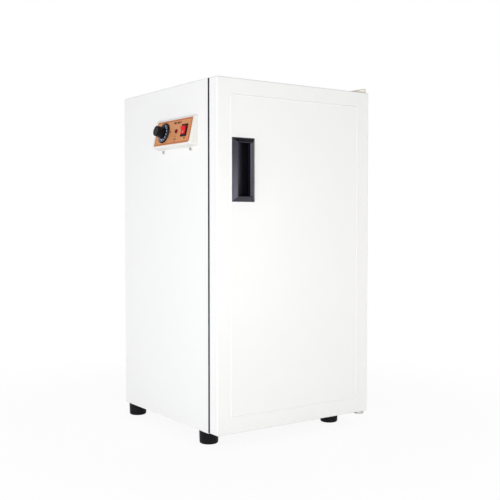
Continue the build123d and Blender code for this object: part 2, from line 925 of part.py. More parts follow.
def door_liner():
    """The formed sheet on the rear of the door, with the raised dyke that enters the throat."""
    xs = (gasket_left + gasket_width, gasket_right - gasket_width)
    zs = (gasket_bottom + gasket_width, gasket_top - gasket_width)
    sheet = block(xs, (liner_plane, liner_plane + liner_thickness), zs)
    dyke_x = grown((chamber_left, chamber_right), -dyke_clearance)
    dyke_z = grown((chamber_bottom, chamber_top), -dyke_clearance)
    face = liner_plane + liner_thickness
    crest = face + dyke_height
    outside = tapered(dyke_x, dyke_z, liner_plane, crest, dyke_draft, chamber_corner)
    under = tapered(
        grown(dyke_x, -liner_thickness),
        grown(dyke_z, -liner_thickness),
        liner_plane - cut_over,
        crest - liner_thickness,
        dyke_draft,
        chamber_corner - liner_thickness,
    )
    inner_x = grown(dyke_x, -dyke_top)
    inner_z = grown(dyke_z, -dyke_top)
    well = tapered(inner_x, inner_z, crest + cut_over, face, dyke_draft, chamber_corner)
    well_under = tapered(
        grown(inner_x, liner_thickness),
        grown(inner_z, liner_thickness),
        crest + cut_over,
        liner_plane - cut_over,
        dyke_draft,
        chamber_corner,
    )
    formed = sheet + outside - (under - well_under) - well
    return formed - at_each(liner_screw_places(), screw_hole(liner_thickness + cut_over))


def door_liner_screws():
    """The screws of the door liner."""
    return Compound(children=at_each(liner_screw_places(), screw(liner_screw_depth())))


def gasket_spans():
    """Width and height of the gasket's outline."""
    return (gasket_left, gasket_right), (gasket_bottom, gasket_top)


def door_gasket():
    """The seal: a foot under the liner, a soft waist and a face that holds the magnets."""
    xs, zs = gasket_spans()
    step = gasket_step
    base = ring(xs, (door_rear, liner_plane + step / 2), zs, gasket_width)
    foot_width = gasket_width + gasket_foot - step
    foot = ring(grown(xs, -step), (door_rear, liner_plane), grown(zs, -step), foot_width)
    waist_y = (door_rear, gasket_face - gasket_lip)
    waist = ring(grown(xs, -2 * step), waist_y, grown(zs, -2 * step), gasket_width - 4 * step)
    seal = ring(xs, (magnet_y[0] - gasket_lip, gasket_face), zs, gasket_width)
    groove = ring(
        grown(xs, magnet_width - gasket_width),
        grown(magnet_y, magnet_fit),
        grown(zs, magnet_width - gasket_width),
        magnet_width + cut_over,
    )
    return base + foot + waist + seal - groove


def gasket_magnets():
    """Four magnet strips pushed into the groove of the gasket."""
    xs, zs = gasket_spans()
    depth = gasket_width - magnet_width + magnet_fit
    outer_x = grown(xs, -depth)
    outer_z = grown(zs, -depth)
    width = magnet_width - 2 * magnet_fit
    strips = [
        block((outer_x[0], outer_x[0] + width), magnet_y, outer_z),
        block((outer_x[1] - width, outer_x[1]), magnet_y, outer_z),
    ]
    between = grown(outer_x, -width - cut_over)
    strips.append(block(between, magnet_y, (outer_z[0], outer_z[0] + width)))
    strips.append(block(between, magnet_y, (outer_z[1] - width, outer_z[1])))
    return Compound(children=strips)


def handle_cup():
    """The moulded flush pull: a mitred bevel, a straight throat and a pocket that widens behind it."""
    xs, zs = pull_spans(0)
    crest = door_front - pull_rise
    bevel = tapered(xs, zs, door_front, crest, pull_bevel, pull_rim)
    shell_x, shell_z = pull_spans(-pull_shell_inset)
    floor = door_front + pull_depth
    shell = block(shell_x, (door_front - pull_joint, floor + pull_wall), shell_z)
    shell = fillet(shell.edges().filter_by(Axis.Y), pull_wall)
    shell = fillet(shell.faces().sort_by(Axis.Y)[-1].outer_wire().edges(), pull_wall)
    latch_y = (door_front + steel + latch_gap, door_front + steel + latch_gap + latch_thickness)
    latches = [
        block(grown(shell_x, latch_rise), latch_y, grown((z, z), latch_length / 2))
        for z in (zs[0] + pull_height / 4, zs[1] - pull_height / 4)
    ]
    throat_x, throat_z = pull_spans(-pull_opening_inset)
    throat_end = crest + pull_throat
    throat = block(throat_x, (crest - cut_over, throat_end + cut_over), throat_z)
    throat = fillet(throat.edges().filter_by(Axis.Y), pull_rim)
    pocket_x, pocket_z = pull_spans(-pull_pocket_inset)
    pocket = block(pocket_x, (throat_end, floor), pocket_z)
    pocket = fillet(pocket.edges().filter_by(Axis.Y), pull_wall)
    pocket = fillet(pocket.faces().sort_by(Axis.Y)[-1].outer_wire().edges(), pull_wall)
    return bevel + shell + latches - throat - pocket


# Controls on the left wall

def housing_span(inset):
    """The housing from its front end to its rear end."""
    return (front + housing_from_front + inset, front + housing_from_front + housing_length - inset)


def housing_wedge(inset):
    """The wedge as a solid, with drafted ends, inset from its outer skin."""
    section = Polyline(
        (left, housing_bottom),
        (left - housing_bottom_reach, housing_bottom + housing_bottom_rise),
        (left - housing_top_reach, housing_top - housing_top_drop),
        (left, housing_top),
        close=True,
    )
    profile = offset(make_face(section), amount=-inset) if inset else make_face(section)
    span = housing_span(inset)
    wedge = Pos(0, span[1], 0) * extrude(Plane.XZ * profile, span[1] - span[0])
    run = housing_bottom_reach
    for end, sign in ((span[0], 1), (span[1], -1)):
        corner = [(left, end), (left - run, end), (left - run, end + sign * housing_end_draft)]
        sliver = make_face(Polyline(*corner, close=True))
        wedge -= Pos(0, 0, housing_bottom - cut_over) * extrude(sliver, housing_height + 2 * cut_over)
    outer = wedge.edges().filter_by(lambda edge: edge.center().X < left - inset - housing_top_reach / 3)
    return fillet(outer, housing_round - inset / 2)


def control_openings():
    """Holes through the sloped face for the thermostat's neck, the lamp and the switch."""
    depth = 2 * (housing_wall + faceplate_thickness + 1)
    neck = Pos(knob_place, 0, 0) * Cylinder(neck_radius + screw_fit, depth)
    lamp = Pos(lamp_place, 0, 0) * Cylinder(lamp_barrel + screw_fit, depth)
    switch = Pos(switch_place, 0, 0) * Box(*switch_body_size(screw_fit), depth)
    return [panel * neck, panel * lamp, panel * switch]


def control_housing():
    """The moulded box: a hollow wedge with two ears for its screws."""
    shell = housing_wedge(0) - housing_wedge(housing_wall)
    mouth_z = (
        housing_bottom + housing_wall + housing_bottom_rise / 2,
        housing_top - housing_wall - housing_top_drop,
    )
    mouth_x = (left - housing_wall - cut_over / 2, left + cut_over)
    shell -= block(mouth_x, housing_span(housing_wall + housing_end_draft / 2), mouth_z)
    ears = []
    ear_z = (housing_bottom - ear_drop, housing_bottom + housing_wall)
    for x, y, z in ear_places:
        ear = block((left - ear_thickness, left), grown((y, y), ear_width / 2), ear_z)
        ears.append(fillet(ear.edges().filter_by(Axis.X).group_by(Axis.Z)[0], ear_width / 3))
    holes = at_each(ear_screw_places(), screw_hole(ear_thickness))
    return shell + ears - holes - control_openings()


def ear_screw_places():
    """Places of the two screws on the faces of the ears."""
    return [facing((left - ear_thickness, y, z), (-1, 0, 0)) for x, y, z in ear_places]


def housing_screws():
    """The two screws through the ears."""
    one = screw(ear_thickness + steel + screw_reach / 4)
    return Compound(children=at_each(ear_screw_places(), one))


def control_faceplate():
    """The printed plate on the sloped face, with one corner cut."""
    plate = extrude(Rectangle(faceplate_length, faceplate_height), faceplate_thickness)
    uprights = plate.edges().filter_by(Axis.Z)
    corner = uprights.sort_by(lambda edge: edge.center().X - edge.center().Y)[-1]
    plate = Pos(faceplate_shift, 0, 0) * chamfer(corner, faceplate_corner)
    return panel * plate - control_openings()


def thermostat_body():
    """The capillary thermostat behind the sloped face, with its threaded neck."""
    box = Pos(0, 0, -housing_wall - body_depth / 2) * Box(body_side, body_side, body_depth)
    box = fillet(box.edges().filter_by(Axis.Z), bend)
    neck = Pos(0, 0, -housing_wall) * extrude(Circle(neck_radius), housing_wall + neck_height)
    bore = Cylinder(shaft_radius + running_fit, shaft_bore() + running_fit)
    bore = Pos(0, 0, neck_height - shaft_bore() / 2) * bore
    return panel * Pos(knob_place, 0, 0) * (box + neck - bore)


def shaft_bore():
    """Depth of the bore for the shaft, from the end of the neck."""
    return neck_height + housing_wall + body_depth / 2


def thermostat_nut():
    """The hexagon nut that holds the thermostat to the housing."""
    nut = extrude(RegularPolygon(nut_radius, 6), nut_height) - Cylinder(neck_radius, 4 * nut_height)
    return panel * Pos(knob_place, 0, faceplate_thickness) * nut


def thermostat_shaft():
    """The shaft that the knob turns, flattened where it holds the knob."""
    low = neck_height - shaft_bore() + running_fit
    bar = Pos(0, 0, low) * extrude(Circle(shaft_radius), shaft_length - low)
    flat = block(
        (shaft_radius - shaft_flat, shaft_radius + cut_over),
        (-shaft_radius, shaft_radius),
        (neck_height + shaft_step, shaft_length + cut_over),
    )
    return panel * Pos(knob_place, 0, 0) * (bar - flat)


def control_knob():
    """The dial knob: a thin skirt for the scale, a fluted grip and a hub on the shaft."""
    low = faceplate_thickness + skirt_lift
    skirt_top = low + skirt_thickness
    skirt = Pos(0, 0, low) * extrude(Circle(skirt_radius), skirt_thickness)
    skirt = chamfer(skirt.edges().group_by(Axis.Z)[-1], skirt_thickness - skirt_edge, skirt_thickness)
    grip = extrude(Circle(grip_radius), grip_height + grip_foot, taper=grip_taper)
    grip = Pos(0, 0, skirt_top - grip_foot) * fillet(grip.edges().group_by(Axis.Z)[-1], grip_round)
    flute = Cylinder(flute_radius, grip_height - 2 * grip_round)
    flute = Pos(grip_radius + flute_radius / 3, 0, skirt_top + grip_height / 2) * flute
    flutes = [Rot(0, 0, 360 / grip_flutes * i) * flute for i in range(grip_flutes)]
    roof = neck_height + neck_gap
    hollow = Pos(0, 0, low - cut_over) * extrude(Circle(grip_radius - grip_wall), roof - low + cut_over)
    bore = extrude(Circle(shaft_radius + running_fit), shaft_length + running_fit - low)
    bore = Pos(0, 0, low) * bore
    bore -= block(
        (shaft_radius - shaft_flat + running_fit, shaft_radius + cut_over),
        (-shaft_radius, shaft_radius),
        (neck_height + shaft_step - running_fit, shaft_length + cut_over),
    )
    return panel * Pos(knob_place, 0, 0) * (skirt + grip - flutes - hollow - bore)


def pilot_lamp_body():
    """The lamp's barrel behind the face, with two tabs."""
    low = -housing_wall - lamp_barrel_depth
    barrel = Pos(0, 0, low) * extrude(Circle(lamp_barrel), faceplate_thickness - low)
    collar = Pos(0, 0, -housing_wall - lamp_collar) * extrude(Circle(lamp_radius), lamp_collar)
    tab = Box(terminal_sheet, lamp_terminal_width, terminal_length)
    tabs = [Pos(side * lamp_barrel / 2, 0, low - terminal_length / 2) * tab for side in (-1, 1)]
    return panel * Pos(lamp_place, 0, 0) * (barrel + collar + tabs)


def pilot_lamp_lens():
    """The domed red lens on the face."""
    lens = Pos(0, 0, faceplate_thickness) * extrude(Circle(lamp_radius), lamp_dome)
    lens = fillet(lens.edges().group_by(Axis.Z)[-1], lamp_dome * 0.8)
    return panel * Pos(lamp_place, 0, 0) * lens


def switch_body_size(fit):
    """Width and length of the part of the switch that passes through the face."""
    width = rocker_width + 2 * (rocker_gap + switch_body_wall)
    length = rocker_length + 2 * (rocker_gap + switch_body_wall)
    return width + 2 * fit, length + 2 * fit


def switch_pivot_height():
    """Height of the rocker's axis above the face of the housing."""
    return faceplate_thickness + bezel_height - pivot_radius - pivot_cover


def switch_body():
    """The switch's bezel and body, hollow under the rocker, with its terminals."""
    width, length = switch_body_size(0)
    low = -housing_wall - switch_body_depth
    high = faceplate_thickness + bezel_height
    body = block((-width / 2, width / 2), (-length / 2, length / 2), (low, high))
    bezel = block(
        (-switch_width / 2, switch_width / 2),
        (-switch_length / 2, switch_length / 2),
        (faceplate_thickness, high),
    )
    bezel = fillet(bezel.edges().filter_by(Axis.Z), bezel_round)
    bezel = chamfer(bezel.edges().group_by(Axis.Z)[-1], bezel_height / 3)
    well = block(
        grown((-rocker_width / 2, rocker_width / 2), rocker_gap),
        grown((-rocker_length / 2, rocker_length / 2), rocker_gap),
        (switch_pivot_height() - rocker_depth - rocker_clearance, high + cut_over),
    )
    pivots = Pos(0, 0, switch_pivot_height()) * Rot(0, 90, 0) * Cylinder(
        pivot_radius + running_fit, rocker_width + 2 * (rocker_gap + pivot_length)
    )
    tab = Pos(0, 0, low - terminal_length / 2) * Box(terminal_width, terminal_sheet, terminal_length)
    tabs = [Pos(0, terminal_pitch * i, 0) * tab for i in (-1, 0, 1)]
    return panel * Pos(switch_place, 0, 0) * (body + bezel + tabs - well - pivots)


def switch_rocker():
    """The red rocker, its lower half pressed in, with a stub pivot at each side."""
    half = rocker_length / 2
    peak = rocker_rise + half * math.tan(math.radians(rocker_tilt))
    belly = half * rocker_belly
    waist = -rocker_depth * rocker_waist
    crest = half - rocker_draft
    upper = [(-crest, peak), (0, rocker_rise), (crest, peak), (half, 0)]
    lower = [(belly, waist), (0, -rocker_depth), (-belly, waist), (-half, 0)]
    profile = make_face(Polyline(*upper, *lower, close=True))
    profile = fillet(profile.vertices().sort_by(Axis.Y)[-2:], rocker_round)
    bar = Plane.YZ * profile
    rocker = Pos(-rocker_width / 2, 0, 0) * extrude(bar, rocker_width)
    stub_length = rocker_width + 2 * (rocker_gap + pivot_length - pivot_end_gap)
    stubs = Rot(0, 90, 0) * Cylinder(pivot_radius, stub_length)
    pressed = Rot(rocker_tilt, 0, 0) * (rocker + stubs)
    return panel * Pos(switch_place, 0, switch_pivot_height()) * pressed


# Feet

def foot_points():
    """Middles of the four feet; the one by the hinge stands further in, clear of the bracket."""
    near = front + foot_from_front
    far = back - foot_from_back
    return [
        (left + foot_from_side, near),
        (right - hinge_foot_from_side, near),
        (left + foot_from_side, far),
        (right - foot_from_side, far),
    ]


def foot(x, y):
    """A moulded foot, slightly tapered, with a recess for its screw."""
    solid = Pos(x, y, 0) * loft(
        [Circle(foot_bottom_radius), Pos(0, 0, foot_height) * Circle(foot_top_radius)]
    )
    solid = fillet(solid.edges().group_by(Axis.Z)[0], foot_round)
    recess = Pos(x, y, (foot_height - foot_web) / 2 - cut_over) * Cylinder(
        foot_recess_radius, foot_height - foot_web + 2 * cut_over
    )
    hole = Pos(x, y, foot_height) * Cylinder(foot_screw_radius + screw_fit, 3 * foot_web)
    return solid - recess - hole


def foot_screws():
    """One machine screw up through each foot."""
    low = foot_height - foot_web
    reach = foot_web + steel + foot_nut_height + foot_screw_spare
    one = extrude(Circle(foot_screw_radius), reach) + extrude(Circle(foot_screw_head), -foot_screw_radius)
    return Compound(children=[Pos(x, y, low) * one for x, y in foot_points()])


def foot_nuts():
    """Nuts on the floor of the body."""
    nut = extrude(RegularPolygon(foot_nut_radius, 6), foot_nut_height)
    nut -= Cylinder(foot_screw_radius, 4 * foot_nut_height)
    return Compound(children=[Pos(x, y, bottom + steel) * nut for x, y in foot_points()])


# Shelves

def pilaster(side, end):
    """A slotted channel on a side wall."""
    wall_x, room_x = pilaster_x(side)
    xs = sorted((wall_x, room_x))
    y = pilaster_y(end)
    strip = block(xs, grown((y, y), pilaster_width / 2), pilaster_z)
    hollow_x = sorted((wall_x + side * cut_over, room_x + side * liner_sheet))
    strip -= block(hollow_x, grown((y, y), pilaster_width / 2 - liner_sheet), grown(pilaster_z, cut_over))
    count = int((pilaster_z[1] - pilaster_z[0]) / slot_pitch) - 1
    for i in range(1, count):
        z = pilaster_z[0] + slot_pitch * (i + 0.5)
        slot = block(grown(xs, cut_over), grown((y, y), slot_width / 2), grown((z, z), slot_height / 2))
        strip -= slot
    return strip - pilaster_holes()


def pilaster_screws():
    """The screws of the pilasters."""
    return Compound(children=at_each(pilaster_screw_places(), screw(pilaster_depth + screw_reach)))


def clip_z(level):
    """Middle of the slot that holds the clips of one shelf."""
    return pilaster_z[0] + slot_pitch * (shelf_slots[level] + 0.5)


def shelf_clip(side, end, level):
    """One bent clip: a plate on the pilaster, a ledge for the shelf and a lug in the slot."""
    room_x = pilaster_x(side)[1]
    y = pilaster_y(end)
    z = clip_z(level)
    high = z + clip_height / 2
    ys = grown((y, y), clip_width / 2)
    plate = block(sorted((room_x, room_x - side * clip_sheet)), ys, (high - clip_height, high))
    ledge = block(sorted((room_x, room_x - side * clip_ledge)), ys, (high - clip_sheet, high))
    lug_z = grown((z, z), slot_height / 2 - clip_fit)
    lug = block(sorted((room_x, room_x + side * clip_lug)), ys, lug_z)
    return plate + ledge + lug


def shelf_clips():
    """The clips hooked in the slots, four for each shelf."""
    clips = [
        shelf_clip(side, end, level)
        for level in range(len(shelf_slots))
        for side in (-1, 1)
        for end in (0, 1)
    ]
    return Compound(children=clips)


def wire_shelf(level):
    """A welded wire shelf: a bent frame, a middle bar and wires from front to back."""
    low = clip_z(level) + clip_height / 2
    z = low + shelf_frame_radius
    inset = pilaster_depth + shelf_side_gap + shelf_frame_radius
    xs = grown((chamber_left, chamber_right), -inset)
    ys = grown((liner_front, chamber_back), -shelf_end_gap - shelf_frame_radius)
    outline = RectangleRounded(xs[1] - xs[0], ys[1] - ys[0], shelf_corner)
    path = Pos(sum(xs) / 2, sum(ys) / 2, z) * outline.wire()
    start = Plane(path @ 0, z_dir=path % 0)
    shelf = sweep(start * Circle(shelf_frame_radius), path=path)
    middle = sum(ys) / 2
    shelf += rod((xs[0], middle, z), (xs[1], middle, z), shelf_frame_radius - weld_depth)
    wire_z = z + shelf_frame_radius + shelf_wire_radius - weld_depth
    count = int((xs[1] - xs[0] - 2 * shelf_corner) / shelf_wire_pitch)
    first = sum(xs) / 2 - shelf_wire_pitch * count / 2
    ends = grown(ys, shelf_frame_radius / 2)
    wire_xs = [first + shelf_wire_pitch * i for i in range(count + 1)]
    wires = [rod((x, ends[0], wire_z), (x, ends[1], wire_z), shelf_wire_radius) for x in wire_xs]
    return shelf + wires


# Heater

def heater_element():
    """One sheathed tube in a serpentine, both ends out through the rear of the liner."""
    near = liner_front + heater_front_gap
    far = chamber_back - heater_rear_gap
    tail = chamber_back + heater_tail
    z = heater_z()
    points = []
    for i, x in enumerate(heater_xs()):
        ys = (far, near) if i % 2 == 0 else (near, far)
        points += [(x, y, z) for y in ys]
    points[0] = (heater_xs()[0], tail, z)
    points[-1] = (heater_xs()[-1], tail, z)
    return tube(points, heater_bend, heater_radius)


def heater_glands():
    """Threaded glands and nuts that hold the heater's ends in the liner."""
    body = extrude(RegularPolygon(gland_hex, 6), gland_thickness)
    neck = extrude(Circle(gland_neck), -(liner_sheet + 2 * gland_thickness))
    nut = Pos(0, 0, -liner_sheet - gland_thickness) * extrude(RegularPolygon(gland_hex, 6), gland_thickness)
    gland = body + neck + nut - Cylinder(heater_radius, 10 * gland_thickness)
    return Compound(children=at_each(gland_places(), gland))


def heater_supports():
    """Two pierced angle strips that carry the serpentine above the floor."""
    xs = (heater_xs()[0] - support_margin, heater_xs()[-1] + support_margin)
    strips = []
    for place in support_places:
        span = (liner_front + heater_front_gap, chamber_back - heater_rear_gap)
        y = span[0] + (span[1] - span[0]) * place
        web = block(xs, (y, y + support_sheet), (chamber_bottom, heater_z() + support_margin))
        foot_strip = block(xs, (y, y + support_foot), (chamber_bottom, chamber_bottom + support_sheet))
        hole = Rot(90, 0, 0) * Cylinder(heater_radius, 4 * support_sheet)
        strips.append(web + foot_strip - [Pos(x, y, heater_z()) * hole for x in heater_xs()])
    return Compound(children=strips)


def heater_guard():
    """The slotted cover over the heater, folded down to the floor at both sides."""
    xs = grown((chamber_left, chamber_right), -chamber_corner - guard_side_gap)
    ys = (liner_front + guard_front_gap, chamber_back - guard_rear_gap)
    high = chamber_bottom + guard_height
    cover = block(xs, ys, (chamber_bottom, high))
    cover = fillet(cover.edges().filter_by(Axis.Y).group_by(Axis.Z)[-1], bend)
    under_z = (chamber_bottom - cut_over, high - guard_sheet)
    cover -= block(grown(xs, -guard_sheet), grown(ys, cut_over), under_z)
    across = int((xs[1] - xs[0]) / (guard_slot_length + guard_slot_width))
    along = int((ys[1] - ys[0]) / guard_slot_pitch) - 1
    slots = GridLocations((xs[1] - xs[0]) / across, guard_slot_pitch, across, along)
    slot = extrude(SlotOverall(guard_slot_length, guard_slot_width), guard_sheet * 4, both=True)
    return cover - [Pos(sum(xs) / 2, sum(ys) / 2, high) * place * slot for place in slots]


# Parts of the rear service space

def mains_inlet():
    """The recessed mains inlet with its flange."""
    x, y, z = inlet_middle()
    flange = extrude(RectangleRounded(inlet_flange_length, inlet_flange_height, bend), inlet_flange)
    body = Pos(0, 0, inlet_flange - inlet_body_depth) * extrude(
        RectangleRounded(inlet_body_length, inlet_body_height, inlet_corner), inlet_body_depth
    )
    socket = Rectangle(inlet_body_length - 2 * inlet_wall, inlet_body_height - 2 * inlet_wall)
    socket = chamfer(socket.vertices().group_by(Axis.Y)[-1], inlet_key)
    hollow = Pos(0, 0, inlet_flange - inlet_socket_depth) * extrude(socket, inlet_socket_depth + cut_over)
    hole = Cylinder(screw_radius + screw_fit, 4 * inlet_flange)
    holes = [Pos(side * inlet_screw_pitch / 2, 0, 0) * hole for side in (-1, 1)]
    place = Plane((x, y, z), x_dir=(-1, 0, 0), z_dir=(0, 1, 0))
    return place * (flange + body - hollow - holes - inlet_blades())


def inlet_blades():
    """The three blades in the socket, seen from behind, each through the floor of the inlet."""
    low = inlet_flange - inlet_body_depth - terminal_length
    high = inlet_flange - inlet_socket_depth + inlet_blade_length
    side = inlet_blade_pitch / 2
    drop = inlet_blade_offset / 2
    return [
        block(grown((x, x), inlet_blade_thin / 2), grown((y, y), inlet_blade_wide / 2), (low, high))
        for x, y in ((-side, -drop), (side, -drop), (0, drop))
    ]


def inlet_pins():
    """The blades as their own solids."""
    x, y, z = inlet_middle()
    place = Plane((x, y, z), x_dir=(-1, 0, 0), z_dir=(0, 1, 0))
    return Compound(children=[place * blade for blade in inlet_blades()])


def inlet_screws():
    """The two screws of the inlet."""
    x, y, z = inlet_middle()
    half = inlet_screw_pitch / 2
    places = [facing((x + side * half, y + inlet_flange, z), (0, 1, 0)) for side in (-1, 1)]
    return Compound(children=at_each(places, screw(inlet_flange + steel + screw_reach)))


def thermal_cutout():
    """The disc thermostat on the rear of the liner."""
    disc = extrude(Circle(cutout_disc_radius), cutout_disc_depth / 2)
    cap = extrude(Circle(cutout_cap_radius), cutout_disc_depth)
    tab = extrude(Rectangle(terminal_sheet, cutout_terminal_width), terminal_length)
    tabs = [Pos(side * cutout_terminal_offset, 0, cutout_disc_depth) * tab for side in (-1, 1)]
    return disc_place() * (disc + cap + tabs)


def wiring_loom():
    """The sheathed wires between the mains parts and the controls."""
    return tube(loom_route(), loom_bend, loom_radius)


# Sensor

def bulb_axis():
    """Start and end of the bulb's axis along the left wall of the chamber."""
    x, y, z = capillary_entry()
    near = y + 2 * capillary_bend
    return (x + bulb_standoff, near, z), (x + bulb_standoff, near + bulb_length, z)


def thermostat_bulb():
    """The thin tube from the thermostat, down behind the liner and in, with the bulb at its end."""
    lead = panel * Pos(knob_place, -body_side / 4, -housing_wall - body_depth)
    start = lead.position
    turn = (lead * Pos(0, 0, -capillary_lead)).position
    x, y, z = capillary_entry()
    near, far = bulb_axis()
    points = [start, turn, (turn.X, y, z), (near[0], y, z), near]
    bulb = rod(near, far, bulb_radius)
    bulb = fillet(bulb.edges().filter_by(GeomType.CIRCLE), bulb_radius / 2)
    return tube(points, capillary_turn, capillary_radius) + bulb


def bulb_clips():
    """Two clips that hold the bulb off the wall."""
    near, far = bulb_axis()
    clips = []
    for y in (near[1] + bulb_length / 5, far[1] - bulb_length / 5):
        clip = block(
            (chamber_left, near[0] + bulb_radius + bulb_clip_wall),
            grown((y, y), bulb_clip_width / 2),
            grown((near[2], near[2]), bulb_radius + bulb_clip_wall),
        )
        clips.append(clip - rod(near, far, bulb_radius))
    return Compound(children=clips)


# The cabinet, sub-part by sub-part

nodes = {
    "outer_wrap": outer_wrap,
    "base_pan": base_pan,
    "back_panel": back_panel,
    "back_screws": back_screws,
    "throat_frame": throat_frame,
    "inner_liner": inner_liner,
    "insulation": insulation,
    "top_hinge_plate": lambda: hinge_arm_plate(top),
    "top_hinge_pin": lambda: hinge_pin(1),
    "top_hinge_cover": hinge_cover,
    "bottom_hinge_plate": lower_hinge_plate,
    "bottom_hinge_pin": lambda: hinge_pin(0),
    "hinge_screws": hinge_screws,
    "hinge_anchors": lambda: Compound(children=[anchor(0), anchor(1)]),
    "door_skin": door_skin,
    "door_foam": door_foam,
    "door_liner": door_liner,
    "door_liner_screws": door_liner_screws,
    "door_gasket": door_gasket,
    "gasket_magnets": gasket_magnets,
    "door_top_bush": lambda: door_bush(1),
    "door_bottom_bush": lambda: door_bush(0),
    "handle_cup": handle_cup,
    "control_housing": control_housing,
    "housing_screws": housing_screws,
    "control_faceplate": control_faceplate,
    "thermostat_body": thermostat_body,
    "thermostat_nut": thermostat_nut,
    "thermostat_bulb": thermostat_bulb,
    "bulb_clips": bulb_clips,
    "thermostat_shaft": thermostat_shaft,
    "control_knob": control_knob,
    "pilot_lamp_body": pilot_lamp_body,
    "pilot_lamp_lens": pilot_lamp_lens,
    "switch_body": switch_body,
    "switch_rocker": switch_rocker,
    "foot_screws": foot_screws,
    "foot_nuts": foot_nuts,
    "pilaster_screws": pilaster_screws,
    "shelf_clips": shelf_clips,
    "heater_element": heater_element,
    "heater_glands": heater_glands,
    "heater_supports": heater_supports,
    "heater_guard": heater_guard,
    "mains_inlet": mains_inlet,
    "inlet_pins": inlet_pins,
    "inlet_screws": inlet_screws,
    "thermal_cutout": thermal_cutout,
    "wiring_loom": wiring_loom,
}
for name, (x, y) in zip(("front_left", "front_right", "rear_left", "rear_right"), foot_points()):
    nodes["foot_" + name] = lambda x=x, y=y: foot(x, y)
for wall_name, side in (("left", -1), ("right", 1)):
    for end, end_name in enumerate(("front", "rear")):
        nodes["pilaster_" + wall_name + "_" + end_name] = lambda side=side, end=end: pilaster(side, end)
for level, name in enumerate(("lower", "middle", "upper")):
    nodes["shelf_" + name] = lambda level=level: wire_shelf(level)

os.makedirs("parts", exist_ok=True)
for name, make in nodes.items():
    export_step(make(), "parts/" + name + ".step")
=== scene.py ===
import json
import math

import bmesh
import bpy
from mathutils import Matrix, Vector
from mathutils.bvhtree import BVHTree


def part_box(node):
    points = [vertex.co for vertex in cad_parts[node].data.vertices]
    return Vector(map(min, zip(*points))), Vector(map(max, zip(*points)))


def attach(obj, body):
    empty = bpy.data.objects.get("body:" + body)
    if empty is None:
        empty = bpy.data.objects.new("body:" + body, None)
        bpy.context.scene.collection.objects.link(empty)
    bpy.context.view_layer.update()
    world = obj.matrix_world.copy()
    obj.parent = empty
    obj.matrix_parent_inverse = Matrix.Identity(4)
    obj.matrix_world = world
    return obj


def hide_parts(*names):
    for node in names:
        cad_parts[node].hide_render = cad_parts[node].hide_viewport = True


# The warming cabinet, dressed: finishes on every piece of the frame, screws with cross recesses, the
# moulded pull, the door seal, the print of the dial, the control plate and the rocker, and the studio.
# Lengths are in metres, in the frame's own axes: +X right, +Y back, +Z up.

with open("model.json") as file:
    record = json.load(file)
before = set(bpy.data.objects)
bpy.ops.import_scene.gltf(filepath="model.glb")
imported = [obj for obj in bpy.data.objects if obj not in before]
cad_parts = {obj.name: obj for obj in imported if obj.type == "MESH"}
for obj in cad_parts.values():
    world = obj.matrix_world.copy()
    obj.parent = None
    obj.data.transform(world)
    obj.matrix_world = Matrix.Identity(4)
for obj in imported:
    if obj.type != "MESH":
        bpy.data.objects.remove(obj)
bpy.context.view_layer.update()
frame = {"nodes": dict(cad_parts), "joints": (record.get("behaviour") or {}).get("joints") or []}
nodes = frame["nodes"]
joints = {joint["name"]: joint for joint in frame["joints"]}
body_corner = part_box("outer_wrap")[0]

# Camera, from the front left lower corner of the painted body
camera_offset = Vector((-1.0005, -1.5951, 0.4835))
camera_turn = math.radians(34.965)
camera_drop = math.radians(2.072)
camera_lens = 60.43
sensor_width = 36

# Studio. The world's light depends on its direction, a vector of length 1 in the frame's axes.
white = (1.0, 1.0, 1.0, 1.0)
floor_half = 6.0
floor_tone = 0.92
floor_share = 0.92                # of plain white near the cabinet; the rest keeps the shadow
floor_shadow_reach = 0.5
floor_white_reach = 1.1
world_light = 0.62
world_fill = 0.42                 # more of it from behind on the right, where no lamp hangs
world_fill_slope = 2.5            # how fast it grows to the right and to the back
overhead_from = 0.35
overhead_reach = 0.4
overhead_light_loss = 0.1
overhead_mirror_loss = 0.95
right_from = 0.65
right_reach = 0.2
right_mirror_loss = 0.85
lamps = {
    "side_lamp": {
        "place": (-1.6, -0.55, 0.38),
        "target": (-0.2, -0.1, 0.40),
        "size": (2.4, 0.7),
        "power": 12.4,
        "tint": (0.965, 0.975, 1.0),
    },
    "door_lamp": {
        "place": (-0.1, -1.8, 0.38),
        "target": (0.1, -0.2, 0.40),
        "size": (2.8, 0.7),
        "power": 10.5,
        "tint": (1.0, 0.988, 0.955),
    },
}

# Meshes
merge_distance = 0.0000005
corner_steps = 5
moulding_sharp = math.radians(32)
screw_sharp = math.radians(30)

# Screws
screw_head_radius = 0.0035
screw_head_height = 0.002
screw_shank_radius = 0.00175
screw_slot_width = 0.25           # these two as parts of the head's radius
screw_slot_length = 1.1
screw_slot_depth = 0.6            # as a part of the head's height
screw_head_sides = 24
screw_shank_sides = 16
screw_seed = 3

# Pull and seal
pull_rise = 0.0092                # of its crest over the skin of the door
latch_size = (0.0024, 0.003, 0.012)
latch_inset = 0.0047
latch_depth = 0.0027
seal_corner = 0.0003

